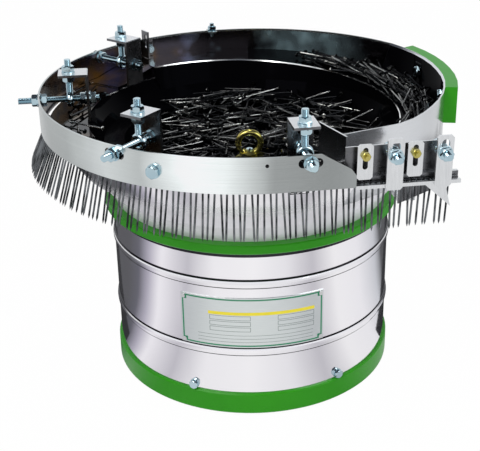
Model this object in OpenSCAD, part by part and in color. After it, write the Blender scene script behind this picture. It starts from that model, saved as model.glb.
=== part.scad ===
// Vibratory bowl feeder that lines nails up by their heads.
// A cast base carries three inclined leaf-spring packs and an electromagnet inside a sheet drum.
// The springs hold a top plate, and the stainless bowl is clamped on it by a centre stud and an eye nut.
// The origin is the centre of the base on the surface it stands on, Z is up, and -Y is the front.

/* [Base and drum] */

// How far the base casting stands out past the drum
base_lip = 3.5; // [2:0.5:12]
// Height of the base casting's floor, which the drum stands on
base_top = 31; // [26:1:45]
// Height of the casting's lower edge above the surface
base_gap = 3; // [2:1:8]
// Radius of a rubber foot
foot_r = 18; // [14:1:22]
// Thickness of a rubber foot
foot_h = 6; // [5:1:9]
// Diameter of the holding-down hole through each foot
foot_hole_d = 8.4; // [6.4:0.1:10.4]
// Outer radius of the cover drum
drum_r = 175; // [160:0.5:177]
// Sheet thickness of the cover drum
drum_t = 1.5; // [1:0.1:3]
// Height of the cover drum
drum_h = 187; // [170:1:230]
// Height of the lower bead's middle above the drum's lower edge
low_bead_z = 58; // [30:1:80]
// Height of the upper bead's middle above the drum's lower edge
high_bead_z = 148; // [120:1:165]
// Height of a rolled bead
bead_h = 10; // [6:0.5:16]
// How far a rolled bead stands out
bead_out = 2; // [1:0.1:4]
// Angle that the nameplate covers round the drum
nameplate_angle = 57; // [30:1:80]
// Height of the nameplate
nameplate_h = 66; // [40:1:80]
// Thickness of the nameplate
nameplate_t = 0.8; // [0.5:0.1:1.5]

/* [Spring drive] */

// Lean of the leaf springs from upright
spring_lean = 20; // [12:1:25]
// Radius at which the spring packs stand
spring_circle_r = 118; // [105:1:125]
// Width of a leaf spring
leaf_w = 40; // [30:1:50]
// Thickness of a leaf spring
leaf_t = 2.5; // [1.5:0.1:4]
// Thickness of the spacers between two leaves
spacer_t = 1.5; // [1:0.1:3]
// Thickness of a clamp plate on a spring pack
clamp_t = 6; // [4:0.5:10]
// Width of the magnet core
core_w = 84; // [70:1:100]
// Depth of the magnet core's stack
core_d = 50; // [40:1:60]
// Height of the magnet core
core_h = 70; // [60:1:76]
// Air gap between the magnet core and the armature
air_gap = 3; // [1.5:0.1:5]

/* [Top plate and bowl] */

// Free gap between the drum and the top plate
plate_gap = 3.2; // [2:0.1:6]
// Radius of the top plate
plate_r = 184; // [176:0.5:195]
// Thickness of the top plate
plate_t = 11.3; // [8:0.1:16]
// Sheet thickness of the bowl and its tracks
sheet_t = 2; // [1.5:0.1:3]
// Outer radius of the bowl's foot
bowl_foot_r = 172; // [165:0.5:175]
// Height of the bowl from the top plate to the rim's top edge
bowl_h = 133.5; // [125:0.5:150]
// Outer radius of the rim band
band_r = 254.6; // [250:0.1:262]
// Height of the rim band
band_h = 39; // [36:0.5:46]
// Rise of a track in one turn
track_rise = 45; // [36:1:50]
// Width of the spiral track inside the bowl
spiral_w = 24; // [16:1:28]
// Thickness of the green counterweight
counterweight_t = 15; // [8:1:24]
// Height of the green counterweight
counterweight_h = 45; // [40:1:58]

/* [Slot and outlet] */

// Clear width of the slot that the nails hang in
slot_gap = 4.8; // [4.4:0.1:5.2]
// Width of the strip that closes the slot on the outside
slot_rail_w = 2; // [1.5:0.1:3]
// Length of the straight outlet
outlet_len = 181; // [150:1:220]
// Fall of the straight outlet
outlet_fall = 1; // [0:0.5:6]
// Length of an outlet holder plate
holder_h = 57; // [52:1:75]
// Length of a slotted gate over the outlet
gate_h = 39; // [34:1:44]

/* [Wipers] */

// Diameter of the studs and bolts
stud_d = 8; // [6:1:8]
// Height of the cross studs below the rim's top edge
stud_drop = 9; // [9:0.5:14]
// Width of an L-shaped wiper blade
blade_w = 28; // [20:1:34]
// Thickness of a wiper blade
blade_t = 3; // [2:0.5:4]
// Height of a wiper's tab above its cross stud
tab_rise = 33; // [28:1:45]

/* [Nails] */

// Shank diameter of a nail
nail_d = 2.5; // [2:0.1:3]
// Head diameter of a nail
nail_head_d = 6.2; // [5.8:0.1:6.3]
// Length of a nail
nail_len = 57; // [40:1:65]
// Distance from nail to nail in the slot
nail_pitch = 6.4; // [6.4:0.1:12]

/* [Hidden] */

$fn = 64;

// Clearance of a bolt in its hole, and of a piece that is slipped over another
fit = 0.1;
// Small gap that keeps nails from sinking into what they rest on
rest = 0.02;

// ---- Levels, worked out from the base upwards ----
drum_top = base_top + drum_h;
base_r = drum_r + base_lip;
base_rim_w = 20;
foot_circle_r = base_r - base_rim_w - 0.5 - foot_r;
plate_z = drum_top + plate_gap;
plate_top = plate_z + plate_t;
rim_top = plate_top + bowl_h;
band_z = rim_top - band_h;
// The slot ledge is the flat stretch of track whose outer edge is one side of the slot
ledge_top = band_z + 1;
ledge_z = ledge_top - sheet_t;
// Top of the shell's outer skin and of its inner wall
skin_top = plate_top + 50.5;
wall_top = plate_top + 79.5;
floor_z = plate_top + 15.5;
dome_top = plate_top + 33.5;

// ---- Radii of the slot, worked out inwards from the rim band ----
band_in = band_r - sheet_t;
rail_in = band_in - slot_rail_w;
ledge_r = rail_in - slot_gap;
slot_r = (rail_in + ledge_r) / 2;
skin_r = bowl_foot_r + 42;
wall_r = bowl_foot_r + 13;
track_in = band_r - 56.6;

// ---- Directions round the bowl, counter-clockwise from +X, in degrees ----
guard_start = -62;
guard_end = 40;
track_end = 130;
slot_start = 150;
outlet_start = -80;
station = 6;

// ---- Hardware sizes that follow from the stud diameter ----
stud_r = stud_d / 2;
nut_af = 13 * stud_d / 8;
nut_h = 0.8 * stud_d;
washer_r = stud_d;
washer_t = 1.6;

// ================= General shapes =================

function unit(v) = v / norm(v);
function left_of(v) = [-v[1], v[0]];

// Points of the path p moved sideways by d, with mitred corners
function beside(p, d) = [
    for (i = [0 : len(p) - 1])
        let (
            a = unit(i > 0 ? p[i] - p[i - 1] : p[1] - p[0]),
            b = i < len(p) - 1 ? unit(p[i + 1] - p[i]) : a,
            n = unit(left_of(a) + left_of(b))
        )
        p[i] + n * d / (n * left_of(a))
];
function reversed(p) = [for (i = [len(p) - 1 : -1 : 0]) p[i]];
function polar(az, r, z) = [r * cos(az), r * sin(az), z];

// A bent sheet seen edge on, thickness t to the left of the path p
module sheet_2d(p, t) {
    polygon(concat(p, reversed(beside(p, t))));
}

// A solid through a row of sections, each a closed loop of points in the same order
module loft(sections) {
    n = len(sections);
    m = len(sections[0]);
    sides = [
        for (i = [0 : n - 2], j = [0 : m - 1])
            let (k = (j + 1) % m)
            each [
                [i * m + j, i * m + k, (i + 1) * m + k],
                [i * m + j, (i + 1) * m + k, (i + 1) * m + j]
            ]
    ];
    first = [for (j = [m - 1 : -1 : 0]) j];
    last = [for (j = [0 : m - 1]) (n - 1) * m + j];
    polyhedron([for (s = sections) each s], concat([first], sides, [last]), convexity = 8);
}

module ring(r_out, r_in, h) {
    difference() {
        cylinder(r = r_out, h = h);
        translate([0, 0, -1]) cylinder(r = r_in, h = h + 2);
    }
}

// Children are set with their Z axis along the outward radius at direction az
module outward(az, r, z) {
    translate(polar(az, r, z)) rotate([0, 90, az]) children();
}

// Flat plate, width along X from the middle and height along Z, with its corners cut off
module trimmed_plate(width, height, thick, corner) {
    w = width / 2;
    translate([0, thick, 0])
        rotate([90, 0, 0])
            linear_extrude(thick)
                polygon([
                    [corner - w, 0], [w - corner, 0], [w, corner], [w, height - corner],
                    [w - corner, height], [corner - w, height], [-w, height - corner], [-w, corner]
                ]);
}

// Straight slot along X, cut through in Z
module slot_cut(length, width, depth) {
    straight = length - width;
    translate([-straight / 2, -width / 2, 0]) cube([straight, width, depth]);
    for (s = [-1, 1])
        translate([s * straight / 2, 0, 0]) cylinder(d = width, h = depth);
}

// Hex bolt with its washer: the washer's underside is at z = 0 and the shank points down
module hex_bolt(r, length, af, head_h) {
    translate([0, 0, -length]) cylinder(r = r, h = length + washer_t, $fn = 32);
    difference() {
        cylinder(r = 2 * r, h = washer_t, $fn = 32);
        translate([0, 0, -1]) cylinder(r = r, h = washer_t + 2, $fn = 32);
    }
    translate([0, 0, washer_t]) hexagon(af, head_h);
}

module hexagon(af, h) {
    intersection() {
        cylinder(d = af / cos(30), h = h, $fn = 6);
        cylinder(d1 = af * 0.96, d2 = af * 0.96 + 2 * h, h = h, $fn = 48);
        cylinder(d2 = af * 0.96, d1 = af * 0.96 + 2 * h, h = h, $fn = 48);
    }
}

module nut() {
    difference() {
        hexagon(nut_af, nut_h);
        translate([0, 0, -1]) cylinder(r = stud_r, h = nut_h + 2, $fn = 32);
    }
}

module washer() {
    ring(washer_r, stud_r, washer_t);
}

// ================= Base =================

function foot_angle(k) = 90 + 120 * k;
cover_screw_z = base_top + 6;
spigot_r = drum_r - drum_t;
spigot_w = 12;
spigot_h = 14;
cover_screw_angles = [-114, -54, 66, 126];

// Centre of a leaf-spring pack, halfway between the casting's floor and the top plate
spring_mid = (base_top + plate_z) / 2;
pack_t = 3 * leaf_t + 2 * spacer_t;
seat_end = 63;
spring_half = (plate_z - base_top) / 2 / cos(spring_lean) - 8;
bolt_along = (seat_end + spring_half) / 2;
bolt_apart = 22;
seat_bolt_depth = 24;

// Children stand in the frame of spring pack k: X outward, Z along the leaves
module spring_frame(k) {
    rotate([0, 0, 30 + 120 * k])
        translate([spring_circle_r, 0, spring_mid])
            rotate([-spring_lean, 0, 0])
                children();
}

// Children at both bolts of the lower end of a pack, Z pointing into the seat
module spring_bolt_places() {
    for (s = [-1, 1])
        translate([s * bolt_apart / 2, 0, -bolt_along]) rotate([-90, 0, 0]) children();
}

// Inclined seat that the lower end of spring pack k is bolted on, reaching the floor below it
module spring_seat(k) {
    difference() {
        intersection() {
            spring_frame(k)
                translate([-leaf_w / 2, pack_t / 2, -150]) cube([leaf_w, 34, 150 - seat_end + 2]);
            translate([0, 0, base_top - 1]) cylinder(r = spigot_r - 3.5, h = spring_mid);
        }
        spring_frame(k) spring_bolt_places() cylinder(r = stud_r + fit, h = seat_bolt_depth + 12, $fn = 32);
    }
}

module base_casting() {
    color("forestgreen")
    difference() {
        union() {
            rotate_extrude($fn = 128)
                polygon([
                    [0, base_gap + 10], [base_r - base_rim_w, base_gap + 10], [base_r - base_rim_w + 2, base_gap],
                    [base_r - 2, base_gap], [base_r, base_gap + 2], [base_r, base_top - 1.5],
                    [base_r - 1.5, base_top], [spigot_r, base_top], [spigot_r, base_top + spigot_h],
                    [spigot_r - spigot_w, base_top + spigot_h], [spigot_r - spigot_w, base_top],
                    [0, base_top]
                ]);
            for (k = [0 : 2]) {
                translate(polar(foot_angle(k), foot_circle_r, foot_h))
                    cylinder(r = foot_r + 4, h = base_top - foot_h - 1);
                spring_seat(k);
            }
        }
        for (k = [0 : 2])
            translate(polar(foot_angle(k), foot_circle_r, foot_h - 1))
                cylinder(d = foot_hole_d, h = 17);
        for (a = cover_screw_angles)
            outward(a, spigot_r - spigot_w - 1, cover_screw_z)
                cylinder(r = 3 + fit, h = spigot_w + 2, $fn = 32);
        for (x = [-1, 1], y = [-1, 1])
            translate([x * bracket_bolt_x, y * bracket_bolt_y, base_top - 12])
                cylinder(r = stud_r + fit, h = 13, $fn = 32);
    }
}

module rubber_feet() {
    color("dimgray")
    for (k = [0 : 2])
        translate(polar(foot_angle(k), foot_circle_r, 0))
            ring(foot_r, foot_hole_d / 2, foot_h);
}

// Outline of a rolled bead standing out by bead_out, as three points either side of its crown
function bead(z) = [
    for (a = [-90 : 30 : 90])
        [drum_r + bead_out * cos(a), z + bead_h / 2 * sin(a)]
];

module cover_drum() {
    color("gainsboro")
    difference() {
        rotate_extrude($fn = 128)
            sheet_2d(concat(
                [[drum_r, base_top]],
                bead(base_top + low_bead_z),
                bead(base_top + high_bead_z),
                [[drum_r, drum_top]]
            ), drum_t);
        for (a = cover_screw_angles)
            outward(a, drum_r - drum_t - 1, cover_screw_z)
                cylinder(r = 3 + fit, h = drum_t + 2, $fn = 32);
        for (s = [-1, 1], z = [-1, 1])
            outward(-90 + s * rivet_angle, drum_r - drum_t - 1, nameplate_mid + z * rivet_z)
                cylinder(r = rivet_r, h = drum_t + 2, $fn = 24);
        outward(90, drum_r - drum_t - 1, gland_z) cylinder(r = gland_r + 0.1, h = drum_t + 2);
    }
}

module cover_screws() {
    color("lightsteelblue")
    for (a = cover_screw_angles)
        outward(a, drum_r, cover_screw_z)
            hex_bolt(3, spigot_w + drum_t - 1, 10, 4);
}

nameplate_mid = base_top + (low_bead_z + high_bead_z) / 2 - 6;
rivet_r = 1.5;
rivet_angle = nameplate_angle / 2 - 1.2;
rivet_z = nameplate_h / 2 - 4;
nameplate_gap = 0.15;

module nameplate() {
    color("silver")
    difference() {
        translate([0, 0, nameplate_mid - nameplate_h / 2])
            rotate([0, 0, -90 - nameplate_angle / 2])
                rotate_extrude(angle = nameplate_angle, $fn = 128)
                    translate([drum_r + nameplate_gap, 0]) square([nameplate_t, nameplate_h]);
        for (s = [-1, 1], z = [-1, 1])
            outward(-90 + s * rivet_angle, drum_r - 1, nameplate_mid + z * rivet_z)
                cylinder(r = rivet_r, h = nameplate_t + 3, $fn = 24);
    }
}

module nameplate_rivets() {
    head_at = drum_t + nameplate_t + 2 * nameplate_gap;
    color("silver")
    for (s = [-1, 1], z = [-1, 1])
        outward(-90 + s * rivet_angle, drum_r - drum_t, nameplate_mid + z * rivet_z) {
            cylinder(r = rivet_r, h = head_at + 0.5, $fn = 24);
            translate([0, 0, head_at]) cylinder(r = 2.6, h = 1, $fn = 24);
        }
}

gland_z = base_top + 24;
gland_r = 6;
gland_bore = 3.5;
gland_inside = 12;
gland_outside = 17;

// Gland through the back of the drum for the magnet's cable, with a lock nut on the inside
module cable_gland() {
    color("black")
    translate([0, drum_r, gland_z]) rotate([-90, 0, 0])
        difference() {
            union() {
                translate([0, 0, -gland_inside]) cylinder(r = gland_r, h = gland_inside);
                translate([0, 0, -drum_t - 4.6]) hexagon(17, 4);
                hexagon(17, 5);
                translate([0, 0, 5]) cylinder(r = 7, h = gland_outside - 9);
                translate([0, 0, gland_outside - 4]) cylinder(r1 = 7, r2 = 5, h = 4);
            }
            translate([0, 0, -gland_inside - 1]) cylinder(r = gland_bore, h = gland_inside + gland_outside + 2);
        }
}

// ================= Spring drive =================

// Three leaves, the spacers between their ends, and a clamp plate on the free side of each end
module spring_pack(k) {
    end_len = spring_half - seat_end;
    color("slategray")
    spring_frame(k)
    difference() {
        union() {
            for (i = [-1 : 1])
                translate([-leaf_w / 2, i * (leaf_t + spacer_t) - leaf_t / 2, -spring_half])
                    cube([leaf_w, leaf_t, 2 * spring_half]);
            for (turn = [0, 180])
                rotate([turn, 0, 0]) {
                    for (s = [-1, 1])
                        translate([
                            -leaf_w / 2,
                            s * (leaf_t + spacer_t) / 2 - spacer_t / 2,
                            -spring_half
                        ])
                            cube([leaf_w, spacer_t, end_len]);
                    translate([-leaf_w / 2, -pack_t / 2 - clamp_t, -spring_half])
                        cube([leaf_w, clamp_t, end_len]);
                }
        }
        for (turn = [0, 180])
            rotate([turn, 0, 0]) spring_bolt_places()
                translate([0, 0, -40]) cylinder(r = stud_r + fit, h = 80, $fn = 32);
    }
}

module spring_bolts(k) {
    spring_frame(k) spring_bolt_places()
        translate([0, 0, -pack_t / 2 - clamp_t])
            rotate([180, 0, 0])
                hex_bolt(stud_r, pack_t + clamp_t + seat_bolt_depth, nut_af, 5.3);
}

module lower_spring_bolts() {
    color("lightsteelblue")
    for (k = [0 : 2]) spring_bolts(k);
}

// The upper end of a pack is the lower end turned half round its middle
module turned_over(k) {
    rotate([0, 0, 30 + 120 * k])
        translate([spring_circle_r, 0, spring_mid])
            rotate([180, 0, 0])
                translate([-spring_circle_r, 0, -spring_mid])
                    rotate([0, 0, -30 - 120 * k])
                        children();
}

module upper_spring_bolts() {
    color("lightsteelblue")
    for (k = [0 : 2]) turned_over(k) spring_bolts(k);
}

bracket_t = 8;
bracket_w = core_w + 2 * bracket_t;
bracket_d = 50;
bracket_foot = 22;
bracket_bolt_x = bracket_w / 2 + bracket_foot / 2;
bracket_bolt_y = 14;
core_top = plate_z - 73;
core_z = core_top - core_h;
core_bolt_z = core_z + 12;
yoke = core_w / 6;

// Pair of upright angle brackets that stand on the casting's floor and hold the core between them
module magnet_bracket() {
    color("slategray")
    difference() {
        for (s = [0, 1])
            mirror([s, 0, 0]) {
                translate([core_w / 2, -bracket_d / 2, base_top])
                    cube([bracket_t, bracket_d, core_bolt_z + 14 - base_top]);
                translate([core_w / 2, -bracket_d / 2, base_top])
                    cube([bracket_t + bracket_foot, bracket_d, bracket_t]);
            }
        for (x = [-1, 1], y = [-1, 1]) {
            translate([x * bracket_bolt_x, y * bracket_bolt_y, base_top - 1])
                cylinder(r = stud_r + fit, h = bracket_t + 2, $fn = 32);
            translate([x * (core_w / 2 - 1), y * bracket_bolt_y, core_bolt_z])
                rotate([0, x * 90, 0]) cylinder(r = stud_r + fit, h = bracket_t + 2, $fn = 32);
        }
    }
}

// E-shaped laminated core, open side up
module magnet_core() {
    color("dimgray")
    difference() {
        translate([-core_w / 2, -core_d / 2, core_z]) cube([core_w, core_d, core_h]);
        for (s = [-1, 1])
            translate([s * (yoke * 1.5) - yoke / 2, -core_d / 2 - 1, core_z + yoke])
                cube([yoke, core_d + 2, core_h]);
        for (x = [-1, 1], y = [-1, 1])
            translate([x * (core_w / 2 - 10), y * bracket_bolt_y, core_bolt_z])
                rotate([0, x * 90, 0]) cylinder(r = stud_r + fit, h = 11, $fn = 32);
    }
}

// Coil round the core's middle leg
module magnet_coil() {
    wall = yoke - 0.6;
    inner_w = 2 * yoke + 0.6;
    color("sienna")
    difference() {
        translate([-yoke - wall - 0.3, -core_d / 2 - wall - 0.3, core_z + yoke])
            cube([inner_w + 2 * wall, core_d + 0.6 + 2 * wall, core_h - yoke - 6]);
        translate([-inner_w / 2, -core_d / 2 - 0.3, core_z + yoke - 1])
            cube([inner_w, core_d + 0.6, core_h]);
    }
}

module magnet_bolts() {
    color("lightsteelblue")
    for (x = [-1, 1], y = [-1, 1])
        translate([x * bracket_bolt_x, y * bracket_bolt_y, base_top + bracket_t])
            hex_bolt(stud_r, bracket_t + 11, nut_af, 5.3);
}

module core_bolts() {
    color("lightsteelblue")
    for (x = [-1, 1], y = [-1, 1])
        translate([x * (core_w / 2 + bracket_t), y * bracket_bolt_y, core_bolt_z])
            rotate([0, x * 90, 0]) hex_bolt(stud_r, bracket_t + 9, nut_af, 5.3);
}

// ================= Top plate =================

armature_t = 12;
armature_z = core_top + air_gap;
post_r = 11;
post_x = 28;

// Round plate with the three upper spring seats and two posts for the armature cast under it
module top_plate() {
    color("forestgreen")
    difference() {
        union() {
            translate([0, 0, plate_z])
                rotate_extrude($fn = 128)
                    polygon([
                        [0, 0], [plate_r - 1.5, 0], [plate_r, 1.5],
                        [plate_r, plate_t - 1.5], [plate_r - 1.5, plate_t], [0, plate_t]
                    ]);
            for (k = [0 : 2]) turned_over(k) spring_seat(k);
            for (s = [-1, 1])
                translate([s * post_x, 0, armature_z + armature_t])
                    cylinder(r = post_r, h = plate_z - armature_z - armature_t + 1);
        }
        translate([0, 0, plate_z - 1]) cylinder(r = stud_r + fit, h = plate_t + 2, $fn = 32);
        for (s = [-1, 1])
            translate([s * post_x, 0, armature_z + armature_t - 1])
                cylinder(r = stud_r + fit, h = 22, $fn = 32);
    }
}

module armature_plate() {
    color("dimgray")
    difference() {
        translate([-core_w / 2, -core_d / 2, armature_z]) cube([core_w, core_d, armature_t]);
        for (s = [-1, 1])
            translate([s * post_x, 0, armature_z - 1]) {
                cylinder(r = stud_r + fit, h = armature_t + 2, $fn = 32);
                cylinder(r = stud_d + fit, h = 7, $fn = 32);
            }
    }
}

// Socket screws sunk in the armature
module armature_bolts() {
    color("dimgray")
    for (s = [-1, 1])
        translate([s * post_x, 0, armature_z + 1]) {
            cylinder(r = stud_d - 1.5, h = 5, $fn = 32);
            cylinder(r = stud_r, h = armature_t + 16, $fn = 32);
        }
}

// ================= Centre hold-down =================

eye_washer_t = 3;
eye_seat = dome_top + eye_washer_t;
eye_od = 36;
eye_id = 20;
eye_wire = (eye_od - eye_id) / 4;
eye_mid = eye_seat + eye_od / 2;

module centre_stud() {
    color("lightsteelblue")
    translate([0, 0, plate_z + 1])
        cylinder(r = stud_r, h = eye_seat + 10.5 - plate_z - 1, $fn = 32);
}

module centre_washer() {
    color("goldenrod")
    translate([0, 0, dome_top]) ring(18, stud_r + fit, eye_washer_t);
}

module eye_nut() {
    color("goldenrod")
    difference() {
        union() {
            translate([0, 0, eye_mid]) rotate([90, 0, 0])
                rotate_extrude($fn = 96)
                    translate([(eye_od + eye_id) / 4, 0]) circle(r = eye_wire, $fn = 32);
            translate([0, 0, eye_seat]) cylinder(r = 10, h = 5);
            translate([0, 0, eye_seat + 5]) cylinder(r1 = 10, r2 = 6, h = 3.5);
        }
        translate([0, 0, eye_seat - 1]) cylinder(r = stud_r, h = 12, $fn = 32);
    }
}

// ================= Bowl shell =================

// Outer skin from the foot up to the flare, written upwards
outer_skin = [
    [bowl_foot_r, plate_top], [bowl_foot_r, plate_top + 17.5], [bowl_foot_r + 14, plate_top + 23.5],
    [bowl_foot_r + 17, plate_top + 39.5], [skin_r, skin_top],
    [skin_r + 16, skin_top + 7]
];
// Inner surface from the dome at the centre, over the floor and up the inner wall
inner_skin = [
    [12, dome_top], [26, dome_top], [54, floor_z + 2], [60, floor_z],
    [bowl_foot_r - 30, floor_z], [bowl_foot_r - 22, floor_z + 3],
    [wall_r, wall_top], [wall_r + 5.4, wall_top + 10]
];

module bowl_shell() {
    color("silver") {
        rotate_extrude($fn = 128) {
            intersection() {
                sheet_2d(outer_skin, sheet_t);
                square([400, skin_top]);
            }
            intersection() {
                sheet_2d(inner_skin, -sheet_t);
                square([400, wall_top]);
            }
            translate([stud_r + 1, plate_top])
                square([9, dome_top - plate_top]);
            translate([stud_r + 2, plate_top])
                square([bowl_foot_r - stud_r - 3, sheet_t]);
        }
    }
}

// Radius of the inner wall's surface at height z
function wall_at(z) =
    let (a = inner_skin[5], b = inner_skin[6])
    z < a[1] ? a[0] : a[0] + (b[0] - a[0]) * (z - a[1]) / (b[1] - a[1]);

// Height of the track at direction az, the top track's start being its reference
track_z0 = wall_top + 6;
function track_z(az) = track_z0 + track_rise * (az - guard_start) / 360;

// Track that climbs the inner wall from the floor to the top track
spiral_clear = 0.4;
spiral_turn = 510;
module spiral_track() {
    color("gray")
    loft([
        for (az = [guard_start - spiral_turn : station : guard_start])
            let (
                z = max(track_z(az), floor_z + 4 + sheet_t),
                top_r = min(wall_at(z), wall_r) - spiral_clear,
                low_r = min(wall_at(z - sheet_t), wall_r) - spiral_clear
            )
            [
                polar(az, low_r - spiral_w, z - sheet_t),
                polar(az, low_r, z - sheet_t),
                polar(az, top_r, z),
                polar(az, low_r - spiral_w, z)
            ]
    ]);
}

// Mean radius of the guard wall: the outer wall's start, which swings out to meet the rim band
function guard_r(az) = band_r - 1 + lookup(az, [
    [-62, -39.6], [-56, -37.6], [-50, -32.6], [-44, -25.6], [-38, -22.6], [-26, -21.6],
    [-8, -17.6], [10, -12.1], [28, -4.3], [40, 0]
]);
function guard_stations() = [guard_start : station : guard_end];

// Inner edge of the top track
function track_inner(az) = lookup(az, [[guard_start, wall_r], [guard_end, wall_r], [93, track_in]]);

// Widening track between the guard wall or the rim band and the bowl's mouth
module top_track() {
    color("gray")
    loft([
        for (az = [guard_start : station : track_end])
            let (
                z = track_z(az),
                r_in = track_inner(az),
                r_out = az < guard_end ? guard_r(az) - sheet_t / 2 : band_in
            )
            [
                polar(az, wall_r, wall_top),
                polar(az, wall_r + sheet_t, wall_top),
                polar(az, r_in + sheet_t, z - sheet_t),
                polar(az, r_out, z - sheet_t),
                polar(az, r_out, z),
                polar(az, r_in, z)
            ]
    ]);
}

// Children cover the directions from a to b
module sweep_round(a, b) {
    rotate([0, 0, a]) rotate_extrude(angle = b - a, $fn = 180) children();
}

// Flat ledge with the slot's inner edge, the wall under its mouth edge and the skirt under the slot
module slot_ledge() {
    ledge_end = 360 + guard_start;
    color("gray")
    difference() {
        union() {
            sweep_round(track_end, ledge_end)
                polygon([
                    [ledge_r, ledge_z], [ledge_r, ledge_top], [track_in, ledge_top], [track_in, ledge_z],
                    [wall_r, wall_top], [wall_r + sheet_t, wall_top], [track_in + sheet_t, ledge_z]
                ]);
            sweep_round(slot_start, ledge_end - 0.02)
                polygon([
                    [ledge_r - sheet_t, ledge_z], [skin_r - sheet_t, skin_top],
                    [skin_r, skin_top], [ledge_r - 0.02, ledge_z]
                ]);
        }
        in_outlet() translate([0, -20, -9]) cube([outlet_len, 20 + rail_back + sheet_t, 21]);
    }
}

// Skirt from the top of the shell's skin to the rim band, where no nails hang
module rim_skirt() {
    color("gray")
    sweep_round(guard_end, slot_start - 0.02)
        polygon([
            [skin_r - sheet_t, skin_top], [skin_r, skin_top],
            [band_r, band_z], [band_in, band_z]
        ]);
}

// Short slope from the top track's end down to the slot ledge
module drop_ramp() {
    high = track_z(track_end);
    low = ledge_top + sheet_t;
    color("gray")
    loft([
        for (step = [[0, high], [6, high - 0.42 * (high - low)], [14, low], [19, low]])
            let (az = track_end + step[0], z = step[1])
            [
                polar(az, track_in + 3, z - sheet_t),
                polar(az, band_in - 1, z - sheet_t),
                polar(az, band_in - 1, z),
                polar(az, track_in + 3, z)
            ]
    ]);
}

// ================= Rim band and slot rail =================

// Children stand in the outlet's frame: X along the straight slot from where it leaves the round one,
// -Y to the outside, Z = 0 at the underside of the slot ledge
module in_outlet() {
    translate(polar(outlet_start, slot_r, ledge_z))
        rotate([0, 0, outlet_start + 90])
            rotate([0, outlet_fall, 0])
                children();
}

rail_face = slot_gap / 2;
band_face = rail_face + slot_rail_w;
rail_back = rail_face + 6;
band_tail = 67;

// Round band with a straight tail whose corner is cut away
module rim_band() {
    low = band_z - ledge_z;
    color("silver")
    difference() {
        union() {
            sweep_round(guard_end, 360 + outlet_start)
                translate([band_in, band_z]) square([sheet_t, band_h]);
            in_outlet()
                translate([0, -band_face, 0])
                    rotate([90, 0, 0])
                        linear_extrude(sheet_t)
                            polygon([
                                [-4, low], [band_tail, low], [band_tail, low + 13],
                                [band_tail - 6, low + 21], [band_tail - 37, low + band_h],
                                [-4, low + band_h]
                            ]);
        }
        wiper_holes();
        outward(lug_screw_angle, band_in - 1, lug_screw_z) cylinder(r = 4 + fit, h = sheet_t + 2, $fn = 32);
        outward(-86, band_in - 1, rim_top - 9) cylinder(r = 2, h = sheet_t + 2, $fn = 24);
        outward(gate_angle, band_in - 1, gate_screw_z) cylinder(r = 3 + fit, h = sheet_t + 2, $fn = 32);
    }
}

// Narrow strip inside the band's lower edge: the slot's outer side
module slot_rail() {
    low = -0.5;
    high = ledge_top - ledge_z;
    color("silver") {
        sweep_round(slot_start, 360 + outlet_start)
            translate([rail_in, ledge_z + low]) square([slot_rail_w, high - low]);
        in_outlet()
            translate([0.2, -band_face, low]) cube([band_tail - 0.2, slot_rail_w, high - low]);
    }
}

lug_screw_angle = -113;
lug_screw_z = rim_top - 20;
lug_leg_r = ledge_r - 11;

// Angle that ties the band to the ledge and bridges the row of nail heads
module band_lugs() {
    color("gray")
    difference() {
        rotate([0, 0, lug_screw_angle])
            rotate([90, 0, 0])
                translate([0, 0, -10])
                    linear_extrude(20) {
                        translate([lug_leg_r, ledge_top]) square([3, lug_screw_z + 8 - ledge_top]);
                        translate([lug_leg_r, lug_screw_z - 8]) square([lug_top_r - lug_leg_r, 16]);
                    }
        outward(lug_screw_angle, lug_leg_r + 2, lug_screw_z) cylinder(r = 4 + fit, h = 20, $fn = 32);
    }
}
// The lug's flat end stops where its corners meet the round band
lug_top_r = sqrt(band_in * band_in - 100);

module band_screws() {
    color("lightsteelblue")
    outward(lug_screw_angle, band_r, lug_screw_z)
        hex_bolt(4, 15, 13, 5.3);
}

// ================= Guard wall, baffle and counterweight =================

guard_low = skin_top + 23;
function guard_outer(az) = max(guard_r(az), skin_r) + sheet_t / 2;

module guard_wall() {
    half = sheet_t / 2;
    color("silver")
    difference() {
        loft([
            for (az = guard_stations())
                let (r = guard_r(az))
                [
                    polar(az, skin_r - sheet_t, skin_top),
                    polar(az, skin_r, skin_top),
                    polar(az, guard_outer(az), guard_low),
                    polar(az, r + half, rim_top),
                    polar(az, r - half, rim_top),
                    polar(az, r - half, guard_low)
                ]
        ]);
        for (az = counterweight_flats)
            on_guard(az, counterweight_mid_z)
                translate([0, 0, -1]) cylinder(r = stud_r + fit, h = sheet_t + 2, $fn = 32);
    }
}

// Children stand on the inner face of the guard wall's flat that starts at direction az, Z outward
module on_guard(az, z) {
    from = polar(az, guard_r(az) - sheet_t / 2, z);
    to = polar(az + station, guard_r(az + station) - sheet_t / 2, z);
    along = to - from;
    translate((from + to) / 2) rotate([0, 90, atan2(along[1], along[0]) - 90]) children();
}

baffle_w = 55;

// Upright plate across the end of the slot ledge
module end_baffle() {
    color("silver")
    rotate([0, 0, guard_start])
        translate([guard_r(guard_start) + 8 - baffle_w, -sheet_t, ledge_top])
            cube([baffle_w, sheet_t, rim_top - ledge_top]);
}

counterweight_from = -8;
counterweight_to = 34;
counterweight_mid_z = rim_top - counterweight_h / 2;
counterweight_flats = [-2, 22];

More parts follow.
